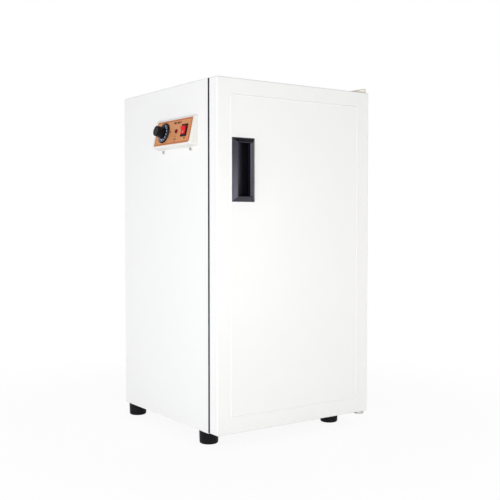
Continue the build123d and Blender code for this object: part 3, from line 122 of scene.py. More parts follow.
# Print. Places on the plate are counted from the axis of the knob, to the front and up the slope.
ink_thickness = 0.00008
ink_gap = 0.00001                 # under the ink, to keep the two surfaces apart
drawing_height = 0.05             # of the drawing over the plate before it is laid down
letter_steps = 3
plate_line_width = 0.004
plate_cut = 0.004
plate_cut_line = 0.0056           # of the line at the cut corner, along either edge
dial_values = range(30, 90, 5)
dial_first = math.radians(30)     # from the top of the dial towards the front, at rest
dial_sweep = math.radians(270)
dial_text_radius = 0.0180
dial_text_height = 0.0038
dial_tick_radius = 0.0216
dial_tick_width = 0.00042
dial_tick_length = 0.0011
dial_long_tick = 1.6              # times as long, at every value
lamp_from_knob = 0.057
switch_from_knob = 0.0935
pointer = ((0.0250, 0.0011), (0.0306, 0.0035), (0.0306, -0.0013))
underline_width = 0.0009
amber_dots = ((-0.0168, -0.0245), (-0.0240, 0.0245))
amber_dot_radius = 0.0027
amber_dot_sides = 24
amber_bar_corner = (-0.0094, -0.0206)
amber_bar_size = (0.0060, 0.0036)
ring_steps = 10
ring_rise = -0.0052
ring_radius = 0.0017
ring_width = 0.0008


class Amount:
    """A number in a node tree that takes part in ordinary sums."""

    def __init__(self, tree, socket):
        self.tree = tree
        self.socket = socket

    def math(self, operation, *terms):
        return self.tree.amount("ShaderNodeMath", {"operation": operation}, dict(enumerate(terms)))

    def __add__(self, other):
        return self.math("ADD", self, other)

    def __radd__(self, other):
        return self.math("ADD", other, self)

    def __sub__(self, other):
        return self.math("SUBTRACT", self, other)

    def __rsub__(self, other):
        return self.math("SUBTRACT", other, self)

    def __mul__(self, other):
        return self.math("MULTIPLY", self, other)

    def __truediv__(self, other):
        return self.math("DIVIDE", self, other)

    def __abs__(self):
        return self.math("ABSOLUTE", self)

    def sine(self):
        return self.math("SINE", self)

    def cosine(self):
        return self.math("COSINE", self)

    def root(self):
        return self.math("SQRT", self)

    def modulo(self, other):
        return self.math("MODULO", self, other)

    def above(self, edge):
        """1 where this amount is over the edge, otherwise 0."""
        return self.math("GREATER_THAN", self, edge)

    def most(self, other):
        """The larger of two amounts."""
        return self.math("MAXIMUM", self, other)

    def least(self, other):
        """The smaller of two amounts."""
        return self.math("MINIMUM", self, other)

    def clipped(self):
        """This amount, kept from 0 to 1."""
        return self.most(0.0).least(1.0)


class Tree:
    """A node tree in the making, with one way to add a node."""

    def __init__(self, tree):
        self.tree = tree
        tree.nodes.clear()

    def node(self, kind, settings=None, sockets=None):
        made = self.tree.nodes.new(kind)
        for key, value in (settings or {}).items():
            setattr(made, key, value)
        for key, value in (sockets or {}).items():
            if isinstance(value, (Amount, bpy.types.NodeSocket)):
                self.link(value, made.inputs[key])
            else:
                made.inputs[key].default_value = value
        return made

    def link(self, source, target):
        """Leads an amount or an output into an input."""
        self.tree.links.new(source.socket if isinstance(source, Amount) else source, target)

    def amount(self, kind, settings=None, sockets=None, output=0):
        return Amount(self, self.node(kind, settings, sockets).outputs[output])


class Finish(Tree):
    """The nodes of a material, or of the world, in the making."""

    def __init__(self, name, world=None):
        self.owner = world or bpy.data.materials.new(name)
        self.owner.use_nodes = True
        super().__init__(self.owner.node_tree)

    def place(self, centre=(0, 0, 0), turn=(0, 0, 0), scale=(1, 1, 1)):
        """The point of the piece, counted from a centre, turned and then scaled."""
        point = self.node("ShaderNodeTexCoord").outputs["Object"]
        sockets = {"Vector": point, "Location": centre, "Rotation": turn}
        moved = self.node("ShaderNodeMapping", {"vector_type": "TEXTURE"}, sockets).outputs[0]
        return self.node("ShaderNodeVectorMath", {"operation": "MULTIPLY"}, {0: moved, 1: scale}).outputs[0]

    def parts(self, point):
        """The three numbers of a point."""
        split = self.node("ShaderNodeSeparateXYZ", None, {0: point})
        return [Amount(self, socket) for socket in split.outputs]

    def noise(self, point, scale, detail, rough=0.5):
        sockets = {"Vector": point, "Scale": scale, "Detail": detail, "Roughness": rough}
        return self.amount("ShaderNodeTexNoise", None, sockets)

    def mix(self, share, first, second):
        """A colour between two colours."""
        made = self.node("ShaderNodeMix", {"data_type": "RGBA"}, {0: share, 6: first, 7: second})
        return made.outputs[2]

    def bump(self, height, distance, strength):
        sockets = {"Height": height, "Distance": distance, "Strength": strength}
        return self.node("ShaderNodeBump", None, sockets).outputs[0]

    def close(self, **sockets):
        """The surface shader and the output, which end the finish."""
        named = {key.replace("_", " "): value for key, value in sockets.items()}
        shader = self.node("ShaderNodeBsdfPrincipled", None, named)
        self.node("ShaderNodeOutputMaterial", None, {"Surface": shader.outputs[0]})
        return self.owner


class Growth(Tree):
    """A geometry tree in the making, with named sizes for its inputs."""

    def __init__(self, name):
        super().__init__(bpy.data.node_groups.new(name, "GeometryNodeTree"))
        for way in ("INPUT", "OUTPUT"):
            self.tree.interface.new_socket("Geometry", in_out=way, socket_type="NodeSocketGeometry")
        self.entry = self.node("NodeGroupInput")
        self.named = {}

    def size(self, name, value, kind="NodeSocketFloat"):
        """A named input, with the value that it has unless a modifier sets another."""
        socket = self.tree.interface.new_socket(name, in_out="INPUT", socket_type=kind)
        socket.default_value = value
        self.named[name] = socket.identifier
        return Amount(self, self.entry.outputs[name])

    def start(self):
        return self.entry.outputs["Geometry"]

    def vector(self, x, y, z):
        return self.node("ShaderNodeCombineXYZ", None, {0: x, 1: y, 2: z}).outputs[0]

    def turn(self, angle):
        """A turn about z."""
        return self.node("FunctionNodeEulerToRotation", None, {0: self.vector(0.0, 0.0, angle)}).outputs[0]

    def attribute(self, name, kind):
        """A value that each point carries."""
        made = self.node("GeometryNodeInputNamedAttribute", {"data_type": kind}, {"Name": name})
        return made.outputs["Attribute"]

    def moved(self, piece, place):
        sockets = {"Geometry": piece, "Translation": place}
        return self.node("GeometryNodeTransform", None, sockets).outputs[0]

    def joined(self, pieces):
        join = self.node("GeometryNodeJoinGeometry")
        for piece in pieces:
            self.link(piece, join.inputs[0])
        return join.outputs[0]

    def turned(self, profile, sides):
        """A closed turned shape from its radii and heights, lowest first."""
        rings = []
        for (low_radius, low), (high_radius, high) in zip(profile, profile[1:]):
            sockets = {
                "Vertices": sides,
                "Radius Bottom": low_radius,
                "Radius Top": high_radius,
                "Depth": high - low,
            }
            ring = self.node("GeometryNodeMeshCone", {"fill_type": "NONE"}, sockets).outputs[0]
            rings.append(self.moved(ring, self.vector(0.0, 0.0, low)))
        sockets = {"Geometry": self.joined(rings), "Distance": merge_distance}
        return self.node("GeometryNodeMergeByDistance", None, sockets).outputs[0]

    def end(self, piece, material):
        """Plain geometry in one finish, which ends the tree."""
        plain = self.node("GeometryNodeRealizeInstances", None, {0: piece}).outputs[0]
        sockets = {"Geometry": plain, "Material": material}
        painted = self.node("GeometryNodeSetMaterial", None, sockets).outputs[0]
        self.node("NodeGroupOutput", None, {0: painted})

    def grow(self, name, carrier, **sizes):
        """The plain mesh that the tree makes on a carrier mesh."""
        holder = bpy.data.objects.new(name, carrier)
        bpy.context.scene.collection.objects.link(holder)
        modifier = holder.modifiers.new(name, "NODES")
        modifier.node_group = self.tree
        for key, value in sizes.items():
            modifier[self.named[key.replace("_", " ")]] = value
        graph = bpy.context.evaluated_depsgraph_get()
        mesh = bpy.data.meshes.new_from_object(holder.evaluated_get(graph))
        bpy.data.objects.remove(holder)
        mesh.name = name
        return mesh


def shade(red, green, blue):
    """A colour in linear light."""
    return (red, green, blue, 1.0)


def darker(colour, share):
    """The same colour with less light in it."""
    return (colour[0] * share, colour[1] * share, colour[2] * share, 1.0)


# Finishes

def powder_coat(name, colour, roughness=0.32):
    """Sprayed and baked paint: faint orange peel, with a slow drift of tone over the sheet."""
    finish = Finish(name)
    point = finish.place()
    peel = finish.noise(point, 420, 2.0, 0.55)
    drift = finish.noise(point, 2.3, 1.0)
    grain = finish.noise(point, 60, 2.0)
    return finish.close(
        Base_Color=finish.mix(drift * 0.6, colour, darker(colour, 0.975)),
        Roughness=roughness + (grain - 0.5) * 0.08,
        Coat_Weight=0.15,
        Coat_Roughness=0.12,
        Normal=finish.bump(peel, 0.00004, 0.5),
    )


def brushed(name, colour, roughness=0.3, along=(1, 0, 0)):
    """Sheet or bar metal with grinding lines along one direction."""
    finish = Finish(name)
    long, fine = 40.0, 2600.0
    stretch = [long if part else fine for part in along]
    lines = finish.noise(finish.place(scale=stretch), 1.0, 3.0, 0.6)
    cloud = finish.noise(finish.place(), 9.0, 3.0, 0.6)
    return finish.close(
        Base_Color=finish.mix(cloud * 0.5 + lines * 0.3, colour, darker(colour, 0.84)),
        Metallic=1.0,
        Roughness=roughness + (lines - 0.5) * 0.16 + (cloud - 0.5) * 0.1,
        Normal=finish.bump(lines, 0.00002, 0.6),
    )


def plated(name, colour, roughness):
    """Bright zinc or chrome on small steel parts, a little uneven."""
    finish = Finish(name)
    point = finish.place()
    cloud = finish.noise(point, 180.0, 3.0, 0.6)
    spots = finish.noise(point, 900.0, 2.0, 0.6)
    return finish.close(
        Base_Color=finish.mix(cloud * 0.7, colour, darker(colour, 0.78)),
        Metallic=1.0,
        Roughness=roughness + (cloud - 0.5) * 0.12,
        Normal=finish.bump(spots, 0.00001, 0.4),
    )


def moulded(
    name, colour, roughness=0.35, grain=1100.0, depth=0.00003, coat=0.0, tone=0.9, level=0.5, glint=white
):
    """Injection-moulded plastic with the fine texture of its tool."""
    finish = Finish(name)
    point = finish.place()
    texture = finish.noise(point, grain, 3.0, 0.6)
    flow = finish.noise(point, 14.0, 2.0)
    return finish.close(
        Base_Color=finish.mix(flow, colour, darker(colour, tone)),
        Roughness=roughness + (flow - 0.5) * 0.1 + (texture - 0.5) * 0.06,
        Specular_IOR_Level=level,
        Specular_Tint=glint,
        Coat_Weight=coat,
        Coat_Roughness=0.08,
        Normal=finish.bump(texture, depth, 0.6),
    )


def rubber(name, colour, roughness, dust=0.05, level=0.2):
    """Soft black rubber with a dusty bloom."""
    finish = Finish(name)
    point = finish.place()
    bloom = finish.noise(point, 22.0, 4.0, 0.6)
    pores = finish.noise(point, 1600.0, 2.0, 0.7)
    return finish.close(
        Base_Color=finish.mix(bloom * 0.5, colour, shade(dust, dust, dust * 1.1)),
        Roughness=roughness + (bloom - 0.5) * 0.2,
        Specular_IOR_Level=level,
        Normal=finish.bump(pores, 0.00005, 0.6),
    )


def foam_fill(name):
    """Rigid insulation foam, cut and porous."""
    finish = Finish(name)
    point = finish.place()
    cells = finish.amount("ShaderNodeTexVoronoi", None, {"Vector": point, "Scale": 420.0})
    cloud = finish.noise(point, 12.0, 3.0)
    return finish.close(
        Base_Color=finish.mix(cells * 0.8 + cloud * 0.2, shade(0.80, 0.73, 0.52), shade(0.62, 0.52, 0.33)),
        Roughness=0.9,
        Normal=finish.bump(cells, 0.0004, 0.8),
    )


def hot_sheath(name):
    """The steel sheath of the heater, tinted where it has been hot."""
    finish = Finish(name)
    point = finish.place()
    tint = finish.noise(point, 7.0, 2.0)
    scale = finish.noise(point, 160.0, 3.0, 0.6)
    blued = finish.mix(tint, shade(0.16, 0.15, 0.16), shade(0.30, 0.21, 0.13))
    return finish.close(
        Base_Color=finish.mix(scale * 0.5, blued, shade(0.06, 0.055, 0.05)),
        Metallic=0.85,
        Roughness=0.42 + (scale - 0.5) * 0.2,
        Normal=finish.bump(scale, 0.00004, 0.5),
    )


def braid(name):
    """The woven sleeve round the wires."""
    finish = Finish(name)
    x, y, z = finish.parts(finish.place(scale=(900, 900, 900)))
    weave = (x + y + z).sine() * (x - y - z).sine()
    return finish.close(
        Base_Color=finish.mix(weave * 0.5 + 0.5, shade(0.012, 0.012, 0.013), shade(0.07, 0.07, 0.075)),
        Roughness=0.7,
        Normal=finish.bump(weave, 0.0002, 0.6),
    )


def lens_red(name):
    """The clear red lens of the lamp, ribbed inside."""
    finish = Finish(name)
    ribs = finish.noise(finish.place(), 700.0, 1.0)
    return finish.close(
        Base_Color=finish.mix(ribs, shade(0.24, 0.001, 0.008), shade(0.12, 0.0005, 0.004)),
        Roughness=0.2,
        Specular_IOR_Level=0.15,
        Normal=finish.bump(ribs, 0.00006, 0.4),
    )


def dress(finish, *names):
    """One finish for whole nodes."""
    for name in names:
        mesh = nodes[name].data
        mesh.materials.clear()
        mesh.materials.append(finish)


def control_plane():
    """The sloped face of the control box, from the axis of its knob: x to the front, y up the slope."""
    knob = joints["knob_turn"]
    normal = Vector(knob["axis"]).normalized()
    along = Vector((0, -1, 0))
    up = normal.cross(along)
    matrix = Matrix((along, up, normal)).transposed().to_4x4()
    matrix.translation = Vector(knob["pos_m"])
    return matrix


plate_plane = control_plane()


def plate_print(name):
    """The printed control plate: copper orange, with a darker line round its edge and its cut corner."""
    finish = Finish(name)
    low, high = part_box("control_faceplate")
    centre = (low + high) / 2
    turn = plate_plane.to_euler()
    half_length = (high.y - low.y) / 2
    half_height = (high.z - low.z) / 2 / plate_plane.col[1].z
    x, y = finish.parts(finish.place(centre, turn))[:2]
    rim = (abs(x) - (half_length - plate_line_width)).most(abs(y) - (half_height - plate_line_width))
    corner = x - y - (half_length + half_height - plate_cut - plate_cut_line)
    line = rim.most(corner).above(0.0)
    flecks = finish.noise(finish.place(), 1500.0, 2.0, 0.6)
    cloud = finish.noise(finish.place(), 30.0, 2.0)
    ground = finish.mix(cloud * 0.5 + flecks * 0.25, shade(0.68, 0.305, 0.135), shade(0.58, 0.245, 0.10))
    colour = finish.mix(line, ground, shade(0.52, 0.165, 0.055))
    return finish.close(
        Base_Color=colour,
        Metallic=0.15,
        Roughness=0.48 + (flecks - 0.5) * 0.1,
        Specular_IOR_Level=0.2,
        Normal=finish.bump(flecks, 0.00001, 0.3),
    )


# Pieces

def add_piece(name, mesh, body, finish=None):
    """A finished piece at the origin, riding on a body."""
    if finish:
        mesh.materials.clear()
        mesh.materials.append(finish)
    piece = bpy.data.objects.new(name, mesh)
    bpy.context.scene.collection.objects.link(piece)
    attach(piece, body)
    return piece


def closed_mesh(name, shape):
    """A mesh from a bmesh, merged, with its faces outwards and smooth between sharp edges."""
    bmesh.ops.remove_doubles(shape, verts=shape.verts, dist=merge_distance)
    bmesh.ops.recalc_face_normals(shape, faces=shape.faces)
    mesh = bpy.data.meshes.new(name)
    shape.to_mesh(mesh)
    shape.free()
    mesh.shade_smooth()
    mesh.set_sharp_from_angle(angle=moulding_sharp)
    return mesh


def screw_places(*names):
    """The seat, direction and shank length of every screw of some nodes, in the same order each run."""
    places = []
    for name in names:
        copy = bmesh.new()
        copy.from_mesh(nodes[name].data)
        bmesh.ops.remove_doubles(copy, verts=copy.verts, dist=merge_distance)
        left = set(copy.verts)
        for first in copy.verts:
            if first not in left:
                continue
            left.discard(first)
            reached = [first]
            for vert in reached:
                for edge in vert.link_edges:
                    other = edge.other_vert(vert)
                    if other in left:
                        left.discard(other)
                        reached.append(other)
            places.append(screw_place([vert.co.copy() for vert in reached]))
        copy.free()
    return places


def screw_place(points):
    """Where one screw sits: its head has the most points, which tells its direction."""
    low = [min(point[i] for point in points) for i in range(3)]
    high = [max(point[i] for point in points) for i in range(3)]
    mean = [sum(point[i] for point in points) / len(points) for i in range(3)]
    lean = [mean[i] - (low[i] + high[i]) / 2 for i in range(3)]
    along = max(range(3), key=lambda i: abs(lean[i]))
    sign = 1 if lean[along] > 0 else -1
    direction = Vector([sign if i == along else 0 for i in range(3)])
    seat = Vector([(low[i] + high[i]) / 2 for i in range(3)])
    seat[along] = (high if sign > 0 else low)[along] - sign * screw_head_height
    return seat, direction, high[along] - low[along] - screw_head_height


def screw_tree(metal):
    """Pan-head screws with cross recesses, one at each point, each turned by its own amount."""
    tree = Growth("cross_recess_screws")
    head = tree.size("head radius", screw_head_radius)
    rise = tree.size("head height", screw_head_height)
    shank = tree.size("shank radius", screw_shank_radius)
    seed = tree.size("seed", screw_seed, "NodeSocketInt")
    # radii and heights of the head, then of the shank, as parts of their full sizes
    head_profile = (
        (0.0, 0.0), (1.0, 0.0), (1.0, 0.42), (0.96, 0.66), (0.85, 0.85), (0.66, 0.97), (0.5, 1.0),
        (0.0, 1.0),
    )
    shank_profile = ((0.0, -1.0), (0.5, -1.0), (1.0, -0.92), (1.0, 0.0), (0.0, 0.0))
    plain = tree.turned([(head * out, rise * up) for out, up in head_profile], screw_head_sides)
    recess = tree.node("GeometryNodeMeshBoolean", {"operation": "DIFFERENCE", "solver": "EXACT"})
    tree.link(plain, recess.inputs["Mesh 1"])
    for width, length in ((screw_slot_width, screw_slot_length), (screw_slot_length, screw_slot_width)):
        size = tree.vector(head * width, head * length, rise * (2 * screw_slot_depth))
        bar = tree.node("GeometryNodeMeshCube", None, {"Size": size}).outputs[0]
        tree.link(tree.moved(bar, tree.vector(0.0, 0.0, rise)), recess.inputs["Mesh 2"])
    stem = tree.turned([(shank * out, up) for out, up in shank_profile], screw_shank_sides)
    axis = tree.attribute("axis", "FLOAT_VECTOR")
    stand = tree.node("FunctionNodeAlignRotationToVector", {"axis": "Z"}, {"Vector": axis}).outputs[0]
    sockets = {2: 0.0, 3: math.tau, 8: seed}
    spin = tree.amount("FunctionNodeRandomValue", {"data_type": "FLOAT"}, sockets, output=1)
    sockets = {0: stand, 1: tree.turn(spin)}
    spun = tree.node("FunctionNodeRotateRotation", {"rotation_space": "LOCAL"}, sockets).outputs[0]
    sockets = {"Points": tree.start(), "Instance": recess.outputs["Mesh"], "Rotation": spun}
    heads = tree.node("GeometryNodeInstanceOnPoints", None, sockets).outputs[0]
    reach = tree.vector(1.0, 1.0, tree.attribute("reach", "FLOAT"))
    sockets = {"Points": tree.start(), "Instance": stem, "Rotation": stand, "Scale": reach}
    stems = tree.node("GeometryNodeInstanceOnPoints", None, sockets).outputs[0]
    tree.end(tree.joined([heads, stems]), metal)
    return tree


def drive_screws(metal):
    """The small screws of the cabinet and of the door, in the places of their nodes."""
    tree = screw_tree(metal)
    groups = {
        "cabinet": ("back_screws", "hinge_screws", "housing_screws", "inlet_screws", "pilaster_screws"),
        "door": ("door_liner_screws",),
    }
    for seed, (body, names) in enumerate(groups.items(), screw_seed):
        places = screw_places(*names)
        carrier = bpy.data.meshes.new(body + "_screw_points")
        carrier.from_pydata([seat for seat, direction, reach in places], [], [])
        carrier.attributes.new("axis", "FLOAT_VECTOR", "POINT")
        carrier.attributes.new("reach", "FLOAT", "POINT")
        for index, (seat, direction, reach) in enumerate(places):
            carrier.attributes["axis"].data[index].vector = direction
            carrier.attributes["reach"].data[index].value = reach
        mesh = tree.grow(body + "_small_screws", carrier, seed=seed)
        mesh.shade_smooth()
        mesh.set_sharp_from_angle(angle=screw_sharp)
        piece = add_piece(body + "_small_screws", mesh, body)
        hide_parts(*names)


# Pull

def rounded_ring(sides, corner, depth):
    """Points round a rectangle with rounded corners at one depth, from its four sides."""
    left, right, low, high = sides
    centres = (
        (right - corner, high - corner),
        (left + corner, high - corner),
        (left + corner, low + corner),
        (right - corner, low + corner),
    )
    points = []
    for quarter, (x, z) in enumerate(centres):
        for step in range(corner_steps + 1):
            angle = math.radians(90 * (quarter + step / corner_steps))
            points.append((x + corner * math.cos(angle), depth, z + corner * math.sin(angle)))
    return points


def skin_rings(shape, rings, endless=False):
    """A skin over rings of equally many points, endless or with a face on each end."""
    made = [[shape.verts.new(point) for point in ring] for ring in rings]
    for ring, following in zip(made, made[1:] + (made[:1] if endless else [])):
        for index in range(len(ring)):
            before = index - 1
            shape.faces.new((ring[before], ring[index], following[index], following[before]))
    if not endless:
        shape.faces.new(made[0])
        shape.faces.new(reversed(made[-1]))


def mould_pull(finish):
    """The flush pull: bevelled frame with rounded crest, a finger ramp on its right and a deep pocket."""
    low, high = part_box("handle_cup")
    skin = low.y + pull_rise
    # each ring's inset on the left and the ends, its inset on the right, its depth and its corner, in mm
    course = (
        (6.8, 6.8, 26.0, 2.0),
        (5.3, 5.3, 25.4, 2.0),
        (5.0, 5.0, 24.0, 2.0),
        (5.0, 5.0, 0.0, 2.0),
        (0.0, 0.0, 0.0, 1.0),
        (0.1, 0.1, -0.3, 1.0),
        (0.7, 0.7, -0.9, 1.0),
        (9.3, 9.3, -8.4, 1.0),
        (10.1, 10.1, -8.95, 1.0),
        (10.8, 10.8, -9.2, 1.0),
        (11.3, 11.3, -9.2, 1.0),
        (11.8, 11.9, -9.0, 1.0),
        (12.1, 12.5, -8.5, 1.0),
        (12.2, 15.0, -5.9, 1.0),
        (12.2, 15.6, -5.1, 1.0),
        (12.3, 15.9, -4.0, 1.0),
        (12.5, 16.1, 1.4, 1.0),
        (12.3, 15.9, 1.8, 1.0),
        (7.4, 7.4, 1.8, 2.0),
        (7.0, 7.0, 2.3, 2.0),
        (7.0, 7.0, 22.0, 2.0),
        (7.6, 7.6, 23.4, 2.0),
        (9.0, 9.0, 24.0, 2.0),
    )
    rings = []
    for inset, right_inset, depth, corner in course:
        inset = inset / 1000
        sides = (low.x + inset, high.x - right_inset / 1000, low.z + inset, high.z - inset)
        rings.append(rounded_ring(sides, corner / 1000, skin + depth / 1000))
    shape = bmesh.new()
    skin_rings(shape, rings)
    quarter = (high.z - low.z) / 4
    size = Matrix.Diagonal((*latch_size, 1))
    for x in (low.x + latch_inset, high.x - latch_inset):
        for z in (low.z + quarter, high.z - quarter):
            place = Matrix.Translation((x, skin + latch_depth, z))
            bmesh.ops.create_cube(shape, size=1, matrix=place @ size)
    piece = add_piece("flush_pull", closed_mesh("flush_pull", shape), "door", finish)
    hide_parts("handle_cup")


# Seal

def extrude_seal(finish):
    """The door seal: foot, soft waist, magnet groove and a lip that reaches out into the gap."""
    low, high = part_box("door_gasket")
    foot = low.y
    # distance in from the outer line and behind the door pan, in mm; the lip is left out at the hinges
    course = (
        (0.2, 0.0), (0.0, 0.2), (0.0, 1.3), (0.2, 1.5), (1.4, 1.6), (1.9, 1.8), (2.1, 2.3), (1.8, 2.8),
        (0.6, 3.1), (0.1, 3.3), (0.0, 3.7), (0.0, 5.3), (-0.5, 5.5), (-1.5, 5.7), (-1.8, 6.1), (-1.8, 7.3),
        (-1.5, 7.1), (-1.2, 6.8), (-0.4, 6.7), (11.6, 6.7), (12.0, 6.4), (12.0, 5.8), (5.0, 5.8),
        (5.0, 4.0), (12.0, 4.0), (12.0, 3.5), (11.6, 3.1), (10.4, 2.9), (9.9, 2.4), (10.1, 1.8),
        (10.8, 1.5), (11.8, 1.3), (12.2, 1.0), (15.6, 1.0), (15.9, 0.7), (15.6, 0.0),
    )
    rings = []
    for inset, depth in course:
        inset = inset / 1000
        sides = (low.x + inset, high.x - max(inset, 0), low.z + inset, high.z - inset)
        rings.append(rounded_ring(sides, seal_corner, foot + depth / 1000))
    shape = bmesh.new()
    skin_rings(shape, rings, endless=True)
    piece = add_piece("door_seal", closed_mesh("door_seal", shape), "door", finish)
    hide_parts("door_gasket")


# Print on the control plate, the dial and the rocker

def prism(shape, outline):
    """A thin solid on the drawing plane, from its outline."""
    sheets = [[shape.verts.new((x, y, z)) for x, y in outline] for z in (0, ink_thickness)]
    for index in range(len(outline)):
        before = index - 1
        shape.faces.new((sheets[0][before], sheets[0][index], sheets[1][index], sheets[1][before]))
    for sheet in sheets:
        shape.faces.new(sheet)


def stroke(shape, points, width):
    """A thin line of one width through points on the drawing plane."""
    points = [Vector(point) for point in points]
    sides = ([], [])
    for index, point in enumerate(points):
        before = points[max(index - 1, 0)]
        after = points[min(index + 1, len(points) - 1)]
        across = (after - before).normalized().orthogonal() * width / 2
        sides[0].append(point + across)
        sides[1].append(point - across)
    prism(shape, [tuple(point) for point in sides[0] + sides[1][::-1]])


def arc(centre, radius, first, last, steps):
    """Points along an arc, with angles in degrees."""
    angles = [math.radians(first + (last - first) * step / steps) for step in range(steps + 1)]
    return [(centre[0] + radius * math.cos(a), centre[1] + radius * math.sin(a)) for a in angles]


def letters(shape, text, height, centre, turn=0.0, weight=0.02, spacing=1.0):
    """A word or number as a thin solid on the drawing plane, with its height and its middle."""
    curve = bpy.data.curves.new("lettering", "FONT")
    curve.body = text
    curve.extrude = 0.5
    curve.offset = weight
    curve.space_character = spacing
    curve.resolution_u = letter_steps
    holder = bpy.data.objects.new("lettering", curve)
    bpy.context.scene.collection.objects.link(holder)
    mesh = bpy.data.meshes.new_from_object(holder.evaluated_get(bpy.context.evaluated_depsgraph_get()))
    bpy.data.objects.remove(holder)
    points = [vert.co for vert in mesh.vertices]
    low = Vector([min(point[i] for point in points) for i in range(3)])
    high = Vector([max(point[i] for point in points) for i in range(3)])
    scale = height / (high.y - low.y)
    middle = Vector(((low.x + high.x) / 2, (low.y + high.y) / 2, low.z))
    mesh.transform(
        Matrix.Translation((centre[0], centre[1], 0))
        @ Matrix.Rotation(turn, 4, "Z")
        @ Matrix.Diagonal((scale, scale, ink_thickness / (high.z - low.z), 1))
        @ Matrix.Translation(-middle)
    )
    shape.from_mesh(mesh)
    bpy.data.meshes.remove(mesh)


def settle(name, shape, node):
    """A thin drawing laid on the surface of a node, along the normal of the control plate."""
    surface = BVHTree.FromPolygons(
        [vert.co for vert in nodes[node].data.vertices],
        [tuple(face.vertices) for face in nodes[node].data.polygons],
    )
    normal = plate_plane.to_3x3() @ Vector((0, 0, 1))
    bmesh.ops.remove_doubles(shape, verts=shape.verts, dist=merge_distance)
    bmesh.ops.recalc_face_normals(shape, faces=shape.faces)
    for vert in shape.verts:
        above = plate_plane @ Vector((vert.co.x, vert.co.y, drawing_height))
        hit = surface.ray_cast(above, -normal)[0]
        vert.co = hit + normal * (vert.co.z + ink_gap)
    mesh = bpy.data.meshes.new(name)
    shape.to_mesh(mesh)
    shape.free()
    return mesh


def tick_tree(ink):
    """Ticks round part of a dial, every second one longer."""
    tree = Growth("dial_ticks")
    count = tree.size("count", 2 * len(dial_values) - 1, "NodeSocketInt")
    radius = tree.size("radius", dial_tick_radius)
    first = tree.size("first angle", dial_first)
    sweep = tree.size("sweep", dial_sweep)
    width = tree.size("width", dial_tick_width)
    length = tree.size("length", dial_tick_length)
    index = tree.amount("GeometryNodeInputIndex")
    angle = first + index * sweep / (count - 1.0)
    place = tree.vector(angle.sine() * radius, angle.cosine() * radius, 0.0)
    points = tree.node("GeometryNodePoints", None, {"Count": count, "Position": place}).outputs[0]
    size = tree.vector(width, length, ink_thickness)
    bar = tree.node("GeometryNodeMeshCube", None, {"Size": size}).outputs[0]
    long = dial_long_tick - index.modulo(2.0) * (dial_long_tick - 1)
    sockets = {
        "Points": points,
        "Instance": bar,
        "Rotation": tree.turn(0.0 - angle),
        "Scale": tree.vector(1.0, long, 1.0),
    }
    ticks = tree.node("GeometryNodeInstanceOnPoints", None, sockets).outputs[0]
    tree.end(tree.moved(ticks, tree.vector(0.0, 0.0, ink_thickness / 2)), ink)
    return tree


def print_dial(ink):
    """The scale of the dial: ticks and degrees on the skirt of the knob."""
    ticks = tick_tree(ink).grow("dial_ticks", bpy.data.meshes.new("no_points"))
    shape = bmesh.new()
    shape.from_mesh(ticks)
    for index, value in enumerate(dial_values):
        angle = dial_first + dial_sweep * index / (len(dial_values) - 1)
        centre = (dial_text_radius * math.sin(angle), dial_text_radius * math.cos(angle))
        letters(shape, str(value), dial_text_height, centre, turn=-angle)
    add_piece("dial_scale", settle("dial_scale", shape, "control_knob"), "knob", ink)


def print_plate(dark, amber):
    """The words and signs beside the controls."""
    shape = bmesh.new()
    heading = (lamp_from_knob - 0.0008, 0.0208)
    letters(shape, "PRE HEAT", height=0.0058, centre=heading, weight=0.045, spacing=1.05)
    letters(shape, "ON", height=0.0038, centre=(switch_from_knob + 0.0056, -0.0187), weight=0.04)
    letters(shape, "\u00b0C", height=0.0038, centre=(lamp_from_knob - 0.0018, -0.0124))
    letters(shape, "30-85", height=0.0036, centre=(lamp_from_knob - 0.0018, -0.0186))
    prism(shape, pointer)
    underline = [(lamp_from_knob - 0.0062, -0.0234), (lamp_from_knob + 0.0024, -0.0234)]
    stroke(shape, underline, underline_width)
    mesh = settle("plate_lettering", shape, "control_faceplate")
    add_piece("plate_lettering", mesh, "cabinet", dark)
    shape = bmesh.new()
    for centre in amber_dots:
        prism(shape, arc(centre, amber_dot_radius, 0, 360, amber_dot_sides)[:-1])
    left, low = switch_from_knob + amber_bar_corner[0], amber_bar_corner[1]
    right, high = left + amber_bar_size[0], low + amber_bar_size[1]
    prism(shape, [(left, low), (right, low), (right, high), (left, high)])
    mesh = settle("plate_amber_marks", shape, "control_faceplate")
    add_piece("plate_amber_marks", mesh, "cabinet", amber)


def print_rocker(pale):
    """The ring on the lower half of the rocker."""
    shape = bmesh.new()
    for half in (0, 180):
        points = arc((switch_from_knob, ring_rise), ring_radius, half, half + 180, ring_steps)
        stroke(shape, points, ring_width)
    mesh = settle("rocker_marks", shape, "switch_rocker")
    add_piece("rocker_marks", mesh, "rocker", pale)


# The finish of every piece

